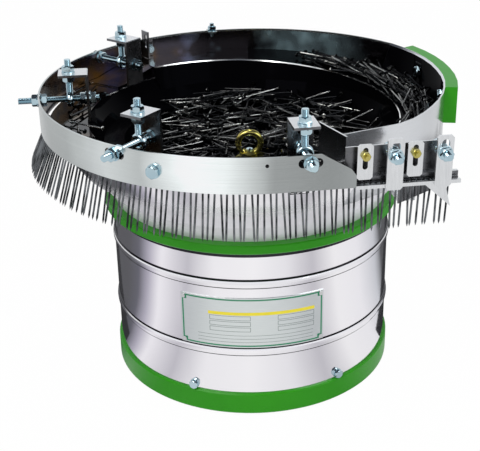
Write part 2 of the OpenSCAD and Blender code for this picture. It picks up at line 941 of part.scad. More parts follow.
module counterweight() {
    half = sheet_t / 2;
    turns = [for (k = [0 : 7]) counterweight_from + k * station];
    color("forestgreen")
    difference() {
        translate([0, 0, rim_top - counterweight_h])
            linear_extrude(counterweight_h)
                polygon(concat(
                    [for (a = turns) (guard_r(a) + half) * [cos(a), sin(a)]],
                    [for (a = reversed(turns)) (guard_r(a) + half + counterweight_t) * [cos(a), sin(a)]]
                ));
        for (az = counterweight_flats)
            on_guard(az, counterweight_mid_z) cylinder(r = stud_r + fit, h = counterweight_t - 2, $fn = 32);
    }
}

// Screws from inside the guard wall into the counterweight's tapped holes
module counterweight_screws() {
    color("lightsteelblue")
    for (az = counterweight_flats)
        on_guard(az, counterweight_mid_z) {
            rotate([180, 0, 0]) hexagon(nut_af, 5.3);
            cylinder(r = stud_r, h = counterweight_t - 4, $fn = 32);
        }
}

// ================= Wipers =================

// Each wiper: direction, reach of its eye bolt inside the band, length of stud outside the band
wipers = [
    [-173.5, 38, 24],
    [-124, 42, 18],
    [142.5, 43, 14]
];
// The fourth wiper stands on the straight tail
tail_wiper = [28, 17];
tail_wiper_x = 18.5;
stud_z = rim_top - stud_drop;
tab_top = stud_z + tab_rise;
blade_back = 20;
blade_out = 12;
blade_low = ledge_top + 3;
wiper_slot = 26;

// Children stand at wiper i: X outward, X = 0 on the band's outer face, Z = 0 at the cross stud
module at_wiper(i) {
    if (i < len(wipers)) {
        translate(polar(wipers[i][0], band_r, stud_z)) rotate([0, 0, wipers[i][0]]) children();
    } else {
        translate(polar(outlet_start, band_r, stud_z))
            rotate([0, 0, outlet_start])
                translate([0, tail_wiper_x, 0])
                    children();
    }
}
function wiper_reach(i) = i < len(wipers) ? wipers[i][1] : tail_wiper[0];
function wiper_tail(i) = i < len(wipers) ? wipers[i][2] : tail_wiper[1];
wiper_ids = [0 : len(wipers)];
// A flat washer inside the round band bears on its edge, a little off the band's middle
band_seat = sheet_t + washer_r * washer_r / (2 * band_in) + 0.01;

module wiper_holes() {
    for (i = wiper_ids)
        at_wiper(i)
            translate([-sheet_t - 3, 0, 0])
                rotate([90, 0, 90])
                    if (i == 0 || i == 2) {
                        cylinder(r = stud_r + 4 * fit, h = sheet_t + 6, $fn = 32);
                    } else {
                        slot_cut(wiper_slot, stud_d + 2, sheet_t + 6);
                    }
}

module cross_studs() {
    color("lightsteelblue")
    for (i = wiper_ids)
        at_wiper(i)
            translate([-wiper_reach(i) - blade_back - blade_t - nut_h - washer_t - 4, 0, 0])
                rotate([0, 90, 0])
                    cylinder(
                        r = stud_r,
                        h = wiper_reach(i) + blade_back + blade_t + nut_h + washer_t + 4 + wiper_tail(i),
                        $fn = 32
                    );
}

eye_ring_r = stud_d * 1.25;
eye_bolt_top = tab_rise + washer_t + nut_h + 8;

module eye_bolts() {
    color("lightsteelblue")
    for (i = wiper_ids)
        at_wiper(i)
            translate([-wiper_reach(i), 0, 0])
                difference() {
                    union() {
                        translate([-stud_d / 2, 0, 0]) rotate([0, 90, 0]) cylinder(r = eye_ring_r, h = stud_d);
                        cylinder(r = stud_r, h = eye_bolt_top, $fn = 32);
                    }
                    translate([-stud_d, 0, 0]) rotate([0, 90, 0]) cylinder(r = stud_r + fit, h = 2 * stud_d);
                }
}

// Blade bent from flat bar: a level tab on the eye bolt and a leg that hangs over the ledge
module wiper_blades() {
    color("silver")
    for (i = wiper_ids)
        at_wiper(i)
            translate([-wiper_reach(i), 0, 0])
                difference() {
                    translate([0, blade_w / 2, 0])
                        rotate([90, 0, 0])
                            linear_extrude(blade_w)
                                polygon([
                                    [-blade_back - blade_t, blade_low - stud_z],
                                    [-blade_back, blade_low - stud_z],
                                    [-blade_back, tab_rise - blade_t],
                                    [blade_out, tab_rise - blade_t],
                                    [blade_out, tab_rise],
                                    [-blade_back - blade_t + 1, tab_rise],
                                    [-blade_back - blade_t, tab_rise - 1]
                                ]);
                    cylinder(r = stud_r + 2 * fit, h = tab_rise + 1, $fn = 32);
                    translate([-blade_back - blade_t - 1, 0, 0])
                        rotate([0, 90, 0]) cylinder(r = stud_r + 2 * fit, h = blade_t + 2, $fn = 32);
                }
}

// Children stand at each nut's seat along cross stud i: both sides of the band and of the blade
module cross_nut_places(i) {
    reach = wiper_reach(i);
    at_wiper(i) rotate([0, 90, 0]) {
        translate([0, 0, washer_t]) children();
        translate([0, 0, -band_seat - washer_t - nut_h]) children();
        translate([0, 0, -reach - blade_back + washer_t]) children();
        translate([0, 0, -reach - blade_back - blade_t - washer_t - nut_h]) children();
    }
}

module wiper_nuts() {
    color("lightsteelblue")
    for (i = wiper_ids) {
        cross_nut_places(i) nut();
        at_wiper(i) translate([-wiper_reach(i), 0, 0]) {
            translate([0, 0, tab_rise + washer_t]) nut();
            translate([0, 0, tab_rise - blade_t - washer_t - nut_h]) nut();
        }
    }
}

module wiper_washers() {
    color("lightsteelblue")
    for (i = wiper_ids) {
        reach = wiper_reach(i);
        at_wiper(i) {
            for (x = [0, -band_seat - washer_t, -reach - blade_back, -reach - blade_back - blade_t - washer_t])
                translate([x, 0, 0]) rotate([0, 90, 0]) washer();
            for (z = [tab_rise, tab_rise - blade_t - washer_t])
                translate([-reach, 0, z]) washer();
        }
    }
}

// ================= Gate plate, rim strap =================

gate_angle = 124.5;
gate_screw_z = rim_top - 14;
gate_plate_w = 13;
gate_plate_rise = 13;
gate_foot_z = 1;

// Slotted paddle that stands across the top track on an ear bolted to the band
module gate_plate() {
    track = track_z(gate_angle + 2);
    color("dimgray")
    rotate([0, 0, gate_angle])
        difference() {
            union() {
                translate([band_in - 5 - gate_plate_w, 4, track + gate_foot_z])
                    cube([gate_plate_w + 4, sheet_t, rim_top + gate_plate_rise - track]);
                translate([band_in - 3, -10, gate_screw_z - 10]) cube([sheet_t, 14 + sheet_t, 20]);
            }
            translate([band_in - 5 - gate_plate_w / 2, 3, rim_top])
                rotate([-90, 90, 0]) slot_cut(19, 5, sheet_t + 2);
            translate([band_in - 5, -4, gate_screw_z])
                rotate([0, 90, 0]) cylinder(r = 3 + fit, h = 8, $fn = 32);
        }
}

module gate_screw() {
    color("lightsteelblue")
    rotate([0, 0, gate_angle])
        translate([band_in - 3, -4, gate_screw_z])
            rotate([0, -90, 0]) hex_bolt(3, 2.5, 10, 4);
}

strap_angle = 102;
strap_w = 12;

// Strip hooked over the rim that hangs down inside the band
module rim_strap() {
    low = track_z(strap_angle) + 5;
    chord_in = sqrt(band_in * band_in - strap_w * strap_w / 4);
    color("silver")
    difference() {
        rotate([0, 0, strap_angle])
            rotate([90, 0, 0])
                translate([0, 0, -strap_w / 2])
                    linear_extrude(strap_w) {
                        translate([chord_in - sheet_t, low]) square([sheet_t, rim_top + sheet_t - low]);
                        translate([chord_in - 16, rim_top]) square([18, sheet_t]);
                    }
        translate(polar(strap_angle, chord_in - 9, rim_top - 1)) cylinder(r = 3 + fit, h = sheet_t + 2, $fn = 32);
    }
}

module strap_bolt() {
    chord_in = sqrt(band_in * band_in - strap_w * strap_w / 4);
    color("lightsteelblue")
    translate(polar(strap_angle, chord_in - 9, rim_top + sheet_t)) {
        hex_bolt(3, 8, 10, 5);
        translate([0, 0, washer_t + 5]) cylinder(r = 3, h = 4, $fn = 32);
    }
}

// ================= Straight outlet =================

inner_rail_start = band_tail - 6;
inner_rail_top = 8;
head_room = nail_head_d / 2 + 0.5;
holder_places = [107, 160];
gate_places = [77, 131];
holder_w = 18;
gate_w = 17;
back_plate_from = 58;
back_plate_top = 42;
skirt_from = back_plate_from + 60;
outlet_stud_z = 34;
gate_screw_level = 33;
gate_screw_r = 2.5;

// Inner side of the straight slot: flush with the ledge at first, then taller behind the nail heads
module inner_rail() {
    color("silver")
    in_outlet() {
        translate([0.2, rail_face, -2]) cube([outlet_len - 0.2, rail_back - rail_face, sheet_t + 2]);
        translate([inner_rail_start, head_room, 0])
            cube([outlet_len - inner_rail_start, rail_back - head_room, inner_rail_top]);
    }
}

module outer_rail() {
    color("silver")
    in_outlet()
        translate([band_tail, -band_face - sheet_t, -2])
            cube([outlet_len - band_tail, slot_rail_w + sheet_t, sheet_t + 2]);
}

// Upright plate behind the inner rail, with a skirt that backs the hanging nails
module outlet_back_plate() {
    color("silver")
    in_outlet()
        difference() {
            translate([0, rail_back + sheet_t, 0])
                rotate([90, 0, 0])
                    linear_extrude(sheet_t)
                        polygon([
                            [back_plate_from, inner_rail_top], [back_plate_from, back_plate_top - 2],
                            [outlet_len - 14, back_plate_top], [outlet_len - 14, -2],
                            [outlet_len - 26, -14], [skirt_from, -28],
                            [skirt_from, -2], [back_plate_from, -2]
                        ]);
            for (x = holder_places)
                translate([x, rail_back - 1, outlet_stud_z])
                    rotate([-90, 0, 0]) cylinder(r = stud_r + fit, h = sheet_t + 2, $fn = 32);
            for (x = gate_places)
                translate([x, rail_back - 1, gate_screw_level])
                    rotate([-90, 0, 0]) cylinder(r = gate_screw_r + fit, h = sheet_t + 2, $fn = 32);
        }
}

// Strap from the guard wall's skirt out to the back plate
module outlet_stay() {
    color("silver")
    difference() {
        in_outlet()
            translate([skirt_from, rail_back + sheet_t, -26]) cube([20, 78, 6]);
        loft([
            for (az = [guard_start : station : guard_start + 5 * station])
                [
                    polar(az, wall_r / 2, skin_top),
                    polar(az, skin_r + fit, skin_top),
                    polar(az, guard_outer(az) + fit, guard_low),
                    polar(az, wall_r / 2, guard_low)
                ]
        ]);
    }
}

// Tall plates on the outer rail's front face, each with a slot for its stud
module holder_plates() {
    color("whitesmoke")
    in_outlet()
        for (x = holder_places)
            difference() {
                translate([x, -band_face - sheet_t - 3, -4]) trimmed_plate(holder_w, holder_h, 3, 2.5);
                translate([x, -band_face - sheet_t - 4, outlet_stud_z + 4])
                    rotate([-90, 90, 0]) slot_cut(22, stud_d + 0.6, 5);
            }
}

// Small plates that close the slot from above, so that no head rides up
module slotted_gates() {
    color("whitesmoke")
    in_outlet()
        for (x = gate_places)
            difference() {
                translate([x, -1, inner_rail_top - 1.5]) trimmed_plate(gate_w, gate_h, 2, 2.5);
                translate([x, -2, gate_screw_level - 3])
                    rotate([-90, 90, 0]) slot_cut(24, 2 * gate_screw_r + 0.6, 4);
            }
}

module outlet_studs() {
    front = -band_face - sheet_t - 3 - washer_t - nut_h - 7;
    color("lightsteelblue")
    in_outlet()
        for (x = holder_places)
            translate([x, front, outlet_stud_z])
                rotate([-90, 0, 0]) cylinder(r = stud_r, h = rail_back + sheet_t + nut_h + 2 - front, $fn = 32);
}

module outlet_nuts() {
    color("lightsteelblue")
    in_outlet()
        for (x = holder_places)
            translate([x, 0, outlet_stud_z]) rotate([-90, 0, 0]) {
                translate([0, 0, -band_face - sheet_t - 3 - washer_t - nut_h]) nut();
                translate([0, 0, -band_face - sheet_t - 3 - washer_t]) washer();
                translate([0, 0, rail_back - nut_h]) nut();
                translate([0, 0, rail_back + sheet_t]) nut();
            }
}

// Screws with a collar that hold the gates off the back plate
module gate_screws() {
    color("goldenrod")
    in_outlet()
        for (x = gate_places)
            translate([x, 0, gate_screw_level]) rotate([-90, 0, 0]) {
                translate([0, 0, -1]) cylinder(r = gate_screw_r, h = rail_back + sheet_t + 4, $fn = 24);
                translate([0, 0, -9]) cylinder(r = gate_screw_r, h = 8, $fn = 24);
                translate([0, 0, 1]) cylinder(r = 4.5, h = rail_back - 1, $fn = 32);
                translate([0, 0, -5.5]) hexagon(9, 4.5);
            }
}

// Thin three-cornered stiffener under the outer rail
module outlet_gusset() {
    color("whitesmoke")
    in_outlet()
        translate([0, -band_face - sheet_t + 2, 0])
            rotate([90, 0, 0])
                linear_extrude(2)
                    polygon([[outlet_len - 39, -2], [outlet_len - 17, -2], [outlet_len - 10, -28]]);
}

// ================= Nails =================

nail_head_t = 1.2;

// Nail with its head's underside at the origin; flat sides stand for its round shank
module nail() {
    cylinder(d = nail_head_d, h = nail_head_t, $fn = 10);
    translate([0, 0, nail_head_t - nail_len]) cylinder(d = nail_d, h = nail_len - nail_head_t, $fn = 6);
}

// Lean of a hanging nail, most at the left and least at the outlet
function nail_lean(az) = lookup(az, [[181, 25], [200, 24], [215, 19], [235, 16], [280, 11]]);
slot_turn = nail_pitch / slot_r * 180 / PI;
nails_from = 182;
round_nails = floor((360 + outlet_start - nails_from) / slot_turn) + 1;
straight_nails = floor((outlet_len - 6) / nail_pitch);

// Nail leaning outward by lean: the slot's middle is at the origin on the ledge's top
module slot_nail(lean, sway) {
    lift = nail_head_d / 2 * sin(lean) + rest;
    translate([-(lift + sheet_t / 2) * tan(lean), 0, lift])
        rotate([0, -lean, 0])
            rotate([sway, 0, 0])
                nail();
}

// Small repeatable sway of nail k along the slot
function sway_of(k) = 1.6 * sin(k * 137.5);

module hanging_nails() {
    color("dimgray") {
        for (k = [0 : round_nails - 1])
            let (az = 360 + outlet_start - k * slot_turn - slot_turn / 2)
            translate(polar(az, slot_r, ledge_top)) rotate([0, 0, az])
                slot_nail(nail_lean(az), sway_of(k));
        for (k = [0 : straight_nails - 1])
            let (x = (k + 0.5) * nail_pitch, lean = max(2, 11 - x / 8))
            in_outlet()
                translate([x, 0, ledge_top - ledge_z])
                    rotate([0, -outlet_fall, 0]) rotate([0, 0, -90])
                        translate([0, 0, nail_head_d / 2 * sin(outlet_fall)])
                            slot_nail(lean, sway_of(k));
    }
}

// Crossed layers of nails lying on the floor, and single nails lying on the top track
stack_r = 94;
stack_layers = 6;
stack_rows = 4;
stack_gap = 9;

module nail_stack() {
    for (layer = [0 : stack_layers - 1])
        translate([0, 0, nail_head_d / 2 + rest + layer * (nail_d + rest)])
            rotate([0, 0, 90 * layer])
                for (row = [0 : stack_rows - 1])
                    translate([-nail_len / 2, (row - (stack_rows - 1) / 2) * stack_gap, 0])
                        rotate([0, -90, 0]) nail();
}

track_nails = 12;

module loose_nails() {
    color("dimgray") {
        for (k = [0 : 5])
            translate(polar(30 + 60 * k, stack_r, floor_z)) rotate([0, 0, 47 * k]) nail_stack();
        for (k = [0 : track_nails - 1])
            let (
                az = 2 + 88 * k / (track_nails - 1),
                r = 199 + 10 * (k % 3),
                slope = atan(track_rise / (2 * PI * r)),
                tip = atan((nail_head_d / 2 - 0.4) / nail_len)
            )
            translate(polar(az, r, track_z(az) + nail_head_d / 2 + 0.3))
                rotate([0, 0, az + 90 + 6])
                    rotate([0, 90 - slope + tip, 0])
                        nail();
    }
}

// ================= Parts =================

base_casting();
rubber_feet();
cover_drum();
cover_screws();
nameplate();
nameplate_rivets();
cable_gland();
spring_pack(0);  // spring_pack_1
spring_pack(1);  // spring_pack_2
spring_pack(2);  // spring_pack_3
lower_spring_bolts();
magnet_bracket();
magnet_core();
magnet_coil();
magnet_bolts();
core_bolts();
top_plate();
upper_spring_bolts();
armature_plate();
armature_bolts();
centre_stud();
centre_washer();
eye_nut();
bowl_shell();
spiral_track();
top_track();
slot_ledge();
rim_skirt();
drop_ramp();
rim_band();
slot_rail();
band_lugs();
band_screws();
guard_wall();
end_baffle();
counterweight();
counterweight_screws();
cross_studs();
eye_bolts();
wiper_blades();
wiper_nuts();
wiper_washers();
gate_plate();
gate_screw();
rim_strap();
strap_bolt();
inner_rail();
outer_rail();
outlet_back_plate();
outlet_stay();
holder_plates();
slotted_gates();
outlet_studs();
outlet_nuts();
gate_screws();
outlet_gusset();
hanging_nails();
loose_nails();
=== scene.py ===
"""Vibratory bowl feeder: the looks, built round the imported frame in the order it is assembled."""

import math
import random

import bpy
from mathutils import Matrix, Vector


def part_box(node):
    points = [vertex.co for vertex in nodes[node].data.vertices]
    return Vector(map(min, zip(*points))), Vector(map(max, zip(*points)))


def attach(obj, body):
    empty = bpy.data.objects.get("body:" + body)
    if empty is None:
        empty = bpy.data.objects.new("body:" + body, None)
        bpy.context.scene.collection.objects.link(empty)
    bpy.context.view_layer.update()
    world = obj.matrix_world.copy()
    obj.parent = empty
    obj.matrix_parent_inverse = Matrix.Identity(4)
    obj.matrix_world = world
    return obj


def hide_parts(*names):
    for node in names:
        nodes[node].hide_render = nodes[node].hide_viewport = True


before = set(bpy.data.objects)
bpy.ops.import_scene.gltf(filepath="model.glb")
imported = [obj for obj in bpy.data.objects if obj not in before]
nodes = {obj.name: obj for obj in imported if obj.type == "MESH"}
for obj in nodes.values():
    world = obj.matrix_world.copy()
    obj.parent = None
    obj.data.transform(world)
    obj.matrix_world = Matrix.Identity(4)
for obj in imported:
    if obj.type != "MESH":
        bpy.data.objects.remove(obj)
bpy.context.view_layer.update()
bpy.ops.object.select_all(action="DESELECT")

# ---------------------------------------------------------------------------
# Studio: the camera stands in front and a little above, looking down into the bowl.
# The floor and the air round it are white, and dark flags out of view give the polished steel
# something to mirror besides white.

eye = Vector((0.0, -1.27894, 0.76915))
right = Vector((0.99981, 0.00194, -0.01929))
up = Vector((0.01666, 0.42266, 0.90613))
back = right.cross(up)
camera_data = bpy.data.cameras.new("camera")
camera_data.sensor_width = 36.0
camera_data.lens = 81.56
camera = bpy.data.objects.new("camera", camera_data)
camera.matrix_world = Matrix(
    (
        (right.x, up.x, back.x, eye.x),
        (right.y, up.y, back.y, eye.y),
        (right.z, up.z, back.z, eye.z),
        (0.0, 0.0, 0.0, 1.0),
    )
)
bpy.context.scene.collection.objects.link(camera)
bpy.context.scene.camera = camera
bpy.context.scene.view_settings.view_transform = "Standard"

# The air: white to the camera, even light on dull faces, and dark overhead in what steel mirrors.

world = bpy.data.worlds.new("studio")
bpy.context.scene.world = world
world.use_nodes = True
air = world.node_tree
for node in list(air.nodes):
    air.nodes.remove(node)
ray = air.nodes.new("ShaderNodeLightPath")
heading = air.nodes.new("ShaderNodeTexCoord")
split = air.nodes.new("ShaderNodeSeparateXYZ")
air.links.new(heading.outputs["Generated"], split.inputs[0])
ramp = air.nodes.new("ShaderNodeValToRGB")
ramp.color_ramp.elements.new(0.5)
for element, (height, shade) in zip(
    ramp.color_ramp.elements,
    ((0.46, (0.95, 0.97, 1.0)), (0.60, (0.10, 0.11, 0.13)), (1.0, (0.03, 0.032, 0.04))),
):
    element.position = height
    element.color = (*shade, 1.0)
air.links.new(split.outputs["Z"], ramp.inputs[0])
soft = air.nodes.new("ShaderNodeMix")
soft.data_type = "RGBA"
soft.inputs[6].default_value = (0.42, 0.43, 0.45, 1.0)
air.links.new(ray.outputs["Is Glossy Ray"], soft.inputs[0])
air.links.new(ramp.outputs[0], soft.inputs[7])
white = air.nodes.new("ShaderNodeMix")
white.data_type = "RGBA"
white.inputs[7].default_value = (1.0, 1.0, 1.0, 1.0)
air.links.new(ray.outputs["Is Camera Ray"], white.inputs[0])
air.links.new(soft.outputs[2], white.inputs[6])
sky = air.nodes.new("ShaderNodeBackground")
air.links.new(white.outputs[2], sky.inputs["Color"])
world_out = air.nodes.new("ShaderNodeOutputWorld")
air.links.new(sky.outputs[0], world_out.inputs["Surface"])


class Wire:
    """A value that runs through a material. Arithmetic on it adds Math nodes."""

    def __init__(self, tree, socket):
        self.tree = tree
        self.socket = socket

    def math(self, operation, *others, swap=False):
        node = self.tree.nodes.new("ShaderNodeMath")
        node.operation = operation
        values = [self, *others]
        if swap:
            values.reverse()
        for place, value in zip(node.inputs, values):
            if isinstance(value, Wire):
                self.tree.links.new(value.socket, place)
            else:
                place.default_value = value
        return Wire(self.tree, node.outputs[0])

    def __add__(self, other):
        return self.math("ADD", other)

    __radd__ = __add__

    def __sub__(self, other):
        return self.math("SUBTRACT", other)

    def __rsub__(self, other):
        return self.math("SUBTRACT", other, swap=True)

    def __mul__(self, other):
        return self.math("MULTIPLY", other)

    def __truediv__(self, other):
        return self.math("DIVIDE", other)

    def __gt__(self, other):
        return self.math("GREATER_THAN", other)

    def __lt__(self, other):
        return self.math("LESS_THAN", other)

    def __abs__(self):
        return self.math("ABSOLUTE")

    def clip(self):
        return self.math("MAXIMUM", 0.0).math("MINIMUM", 1.0)


class Finish:
    """A material under construction, round one Principled BSDF."""

    def __init__(self, name, color, roughness, metallic=0.0):
        self.material = bpy.data.materials.new(name)
        self.material.use_nodes = True
        self.tree = self.material.node_tree
        self.shader = self.tree.nodes["Principled BSDF"]
        self.shader.inputs["Base Color"].default_value = (*color, 1.0)
        self.shader.inputs["Roughness"].default_value = roughness
        self.shader.inputs["Metallic"].default_value = metallic
        self.material.diffuse_color = (*color, 1.0)

    def add(self, kind, settings=None, output=0, **links):
        """Adds a node. Its inputs go by name, or by _ and their number where names repeat."""
        node = self.tree.nodes.new(kind)
        for name, value in (settings or {}).items():
            if name == "stops":
                while len(node.color_ramp.elements) < len(value):
                    node.color_ramp.elements.new(0.5)
                for element, (place, shade) in zip(node.color_ramp.elements, value):
                    element.position = place
                    element.color = (*shade, 1.0)
            else:
                setattr(node, name, value)
        for name, value in links.items():
            place = node.inputs[int(name[1:])] if name[0] == "_" else node.inputs[name]
            if isinstance(value, Wire):
                self.tree.links.new(value.socket, place)
            else:
                place.default_value = value
        return Wire(self.tree, node.outputs[output])

    def put(self, name, value):
        """Sets an input of the Principled BSDF to a Wire or a number."""
        if isinstance(value, Wire):
            self.tree.links.new(value.socket, self.shader.inputs[name])
        else:
            self.shader.inputs[name].default_value = value

    def place(self):
        return self.add("ShaderNodeTexCoord", output="Object")

    def parts(self, vector):
        """The X, Y and Z of a vector."""
        node = self.tree.nodes.new("ShaderNodeSeparateXYZ")
        self.tree.links.new(vector.socket, node.inputs[0])
        return [Wire(self.tree, out) for out in node.outputs]

    def axes(self):
        return self.parts(self.place())

    def normal(self):
        return self.parts(self.add("ShaderNodeNewGeometry", output="Normal"))

    def bearing(self):
        """Where a spot stands round the upright axis: 0 at the back, 0.25 left, 0.5 at the front."""
        x, y, _ = self.axes()
        return x.math("ARCTAN2", y * -1.0) / math.tau + 0.5

    def noise(self, scale, detail=2.0, rough=0.5, vector=None):
        return self.add(
            "ShaderNodeTexNoise",
            Vector=vector or self.place(), Scale=scale, Detail=detail, Roughness=rough,
        )

    def mix(self, factor, *shades):
        """Goes from one colour to another, each a Wire or a tuple, as factor goes from 0 to 1."""
        a, b = [shade if isinstance(shade, Wire) else (*shade, 1.0) for shade in shades]
        return self.add("ShaderNodeMix", {"data_type": "RGBA"}, output=2, _0=factor, _6=a, _7=b)

    def bump(self, height, strength, distance):
        normal = self.add("ShaderNodeBump", Height=height, Strength=strength, Distance=distance)
        self.put("Normal", normal)


# The floor shows white to the camera. Steel mirrors a ring of light and dark in it, which fades
# with distance from the machine.

floor_paint = Finish("studio_floor", (0.86, 0.86, 0.86), 0.9)
floor_ray = floor_paint.add("ShaderNodeLightPath", output="Is Camera Ray")
floor_gloss = floor_paint.add("ShaderNodeLightPath", output="Is Glossy Ray")
floor_x, floor_y, _ = floor_paint.axes()
waver = (floor_paint.noise(2.2, 2.0) - 0.5) * 0.05
mirrored = floor_paint.add(
    "ShaderNodeValToRGB",
    {
        "stops": [
            (0.22, (0.02, 0.02, 0.03)), (0.252, (0.05, 0.05, 0.08)), (0.280, (0.46, 0.44, 0.53)),
            (0.31, (0.98, 0.97, 1.0)), (0.375, (0.56, 0.55, 0.60)), (0.43, (0.99, 0.99, 1.0)),
            (0.50, (1.04, 1.04, 1.04)), (0.565, (0.90, 0.90, 0.92)), (0.615, (0.56, 0.55, 0.59)),
            (0.67, (1.0, 1.0, 1.0)), (0.73, (0.95, 0.95, 0.97)), (0.785, (0.62, 0.64, 0.68)),
            (0.82, (0.03, 0.03, 0.035)),
        ]
    },
    Fac=floor_paint.bearing() + waver,
)
fade_from = 0.60
fade_slope = 5.0
distance = (floor_x * floor_x + floor_y * floor_y).math("SQRT")
far = ((distance - fade_from) * fade_slope).clip() * 0.85
mirrored = floor_paint.mix(far, mirrored, (0.90, 0.91, 0.92))
floor_shade = floor_paint.mix(floor_ray, mirrored, (1.0, 1.0, 1.0))
glow_share = (floor_ray * 0.985 + floor_gloss * 0.86).clip()
floor_glow = floor_paint.tree.nodes.new("ShaderNodeEmission")
floor_paint.tree.links.new(floor_shade.socket, floor_glow.inputs["Color"])
floor_mix = floor_paint.tree.nodes.new("ShaderNodeMixShader")
floor_paint.tree.links.new(glow_share.socket, floor_mix.inputs[0])
floor_paint.tree.links.new(floor_paint.shader.outputs[0], floor_mix.inputs[1])
floor_paint.tree.links.new(floor_glow.outputs[0], floor_mix.inputs[2])
floor_out = floor_paint.tree.nodes["Material Output"]
floor_paint.tree.links.new(floor_mix.outputs[0], floor_out.inputs["Surface"])
bpy.ops.mesh.primitive_plane_add(size=30.0, location=(0.0, 0.0, 0.0))
studio_floor = bpy.context.active_object
studio_floor.name = "studio_floor"
studio_floor.data.materials.append(floor_paint.material)

flag_paint = Finish("black_flag", (0.03, 0.03, 0.034), 0.9)
flag_corners = [(0.186, -0.01), (0.215, 0.55), (0.225, -0.01), (0.46, 0.50)]
flag_z = 0.004
for name, side in (("flag_left", -1.0), ("flag_right", 1.0)):
    bpy.ops.mesh.primitive_plane_add(size=1.0)
    flag = bpy.context.active_object
    flag.name = name
    for point, corner in zip(flag.data.vertices, flag_corners):
        point.co = Vector((side * corner[0], corner[1], flag_z))
    flag.data.materials.append(flag_paint.material)
    flag.visible_camera = False
    flag.visible_diffuse = False
    flag.visible_shadow = False

for name, spot, aim, size, power, tint in (
    ("key", (-1.2, -1.6, 2.2), (0.0, 0.0, 0.2), 1.4, 34.0, (1.0, 0.985, 0.96)),
    ("fill", (1.7, -1.3, 1.3), (0.0, 0.0, 0.2), 1.2, 16.0, (0.95, 0.975, 1.0)),
    ("top", (0.1, 0.5, 2.4), (0.0, 0.0, 0.3), 0.5, 9.0, (1.0, 1.0, 1.0)),
):
    lamp_data = bpy.data.lights.new(name, "AREA")
    lamp_data.shape = "SQUARE"
    lamp_data.size = size
    lamp_data.energy = power
    lamp_data.color = tint
    lamp = bpy.data.objects.new(name, lamp_data)
    lamp.location = spot
    aiming = Vector(aim) - Vector(spot)
    lamp.rotation_euler = aiming.to_track_quat("-Z", "Y").to_euler()
    bpy.context.scene.collection.objects.link(lamp)

# ---------------------------------------------------------------------------
# Base casting: an iron casting on three rubber feet, sprayed with glossy green machine enamel.
# The same enamel covers the top plate and the counterweight.


def wear(material, *names):
    """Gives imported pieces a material."""
    for name in names:
        slots = nodes[name].data.materials
        slots.clear()
        slots.append(material)


enamel = Finish("green_enamel", (0.022, 0.27, 0.003), 0.36)
orange_peel = enamel.noise(420.0, 2.0)
waves = enamel.noise(60.0) * 1.5
patches = enamel.noise(9.0, 3.0, 0.6)
enamel.put("Base Color", enamel.mix(patches, (0.017, 0.250, 0.001), (0.027, 0.312, 0.003)))
enamel.put("Roughness", patches * 0.12 + 0.32)
enamel.put("Coat Weight", 0.05)
enamel.put("Coat Roughness", 0.12)
enamel.put("Specular IOR Level", 0.22)
enamel.bump(orange_peel + waves, 0.12, 0.0006)
wear(enamel.material, "base_casting", "top_plate", "counterweight")

foot_rubber = Finish("foot_rubber", (0.022, 0.022, 0.023), 0.75)
foot_rubber.bump(foot_rubber.noise(900.0, 3.0), 0.2, 0.0003)
dust = foot_rubber.noise(40.0, 4.0, 0.7)
foot_rubber.put("Base Color", foot_rubber.mix(dust, (0.016, 0.016, 0.017), (0.05, 0.048, 0.045)))
wear(foot_rubber.material, "rubber_feet")

# ---------------------------------------------------------------------------
# Drum cover: bright rolled stainless sheet with two beads, screwed to the casting's spigot.
# Its mill finish runs round the drum, and painted shade darkens thin lines in the creases beside
# the beads and under the top edge.


class RoundSteel(Finish):
    """Sheet steel whose fine lines run round the machine's upright axis. Across says how close the
    lines lie, grain how much they show, blotch how much broad clouds do, and dark how deep."""

    def __init__(self, name, color, roughness, across, grain, blotch=0.10, dark=0.86):
        super().__init__(name, color, roughness, 1.0)
        self.x, self.y, self.z = self.axes()
        self.angle = self.y.math("ARCTAN2", self.x)
        self.radius = (self.x * self.x + self.y * self.y).math("SQRT")
        lines = self.add(
            "ShaderNodeCombineXYZ", X=self.angle, Y=self.z * across, Z=self.radius * across
        )
        fine = self.noise(1.0, 3.0, 0.65, lines)
        self.cloud = self.noise(7.0, 3.0, 0.55)
        tone = ((fine - 0.5) * grain + (self.cloud - 0.5) * blotch + 0.5).clip()
        deep = [dark * part for part in color]
        pale = [min(1.0, 1.12 * part) for part in color]
        self.sheen = self.mix(tone, deep, pale)
        self.rough = (fine - 0.5) * 0.12 + (self.cloud - 0.5) * 0.06 + roughness
        self.put("Base Color", self.sheen)
        self.put("Roughness", self.rough)
        self.bump(fine, 0.05, 0.0002)


drum_steel = RoundSteel("drum_stainless", (0.86, 0.845, 0.87), 0.09, 1500.0, 0.12)
low_bead_z = 0.089
high_bead_z = 0.179
crease = 0.0052
drum_edge_z = 0.2160
# Painted shade: thin near-black lines in the creases beside the beads and under the top plate's
# edge.
painted_shade_lines = [
    (low_bead_z - crease, 0.0007), (low_bead_z + crease, 0.0010),
    (high_bead_z - crease, 0.0007), (high_bead_z + crease, 0.0012),
    (drum_edge_z, 0.0022),
]
# The painted shade lines are laid over the steel's colour.
crease_shade = sum(abs(drum_steel.z - height) < half_width for height, half_width in painted_shade_lines)
drum_steel.put("Base Color", drum_steel.mix(crease_shade, drum_steel.sheen, (0.03, 0.03, 0.035)))
wear(drum_steel.material, "cover_drum")

# ---------------------------------------------------------------------------
# Nameplate: a thin aluminium plate riveted to the drum, printed with a green border, a yellow
# stripe and empty fields. Sizes on it are metres from its middle, along the drum and up.

low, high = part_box("nameplate")
plate_r = 0.1758
plate_middle = (low.z + high.z) / 2
plate_half_w = 0.0872
plate_half_h = (high.z - low.z) / 2
print_paint = Finish("printed_plate", (0.66, 0.69, 0.68), 0.34, 0.85)
px, py, pz = print_paint.axes()
across = px.math("ARCTAN2", py * -1.0) * plate_r
along = pz - plate_middle
side = abs(across)
level = abs(along)


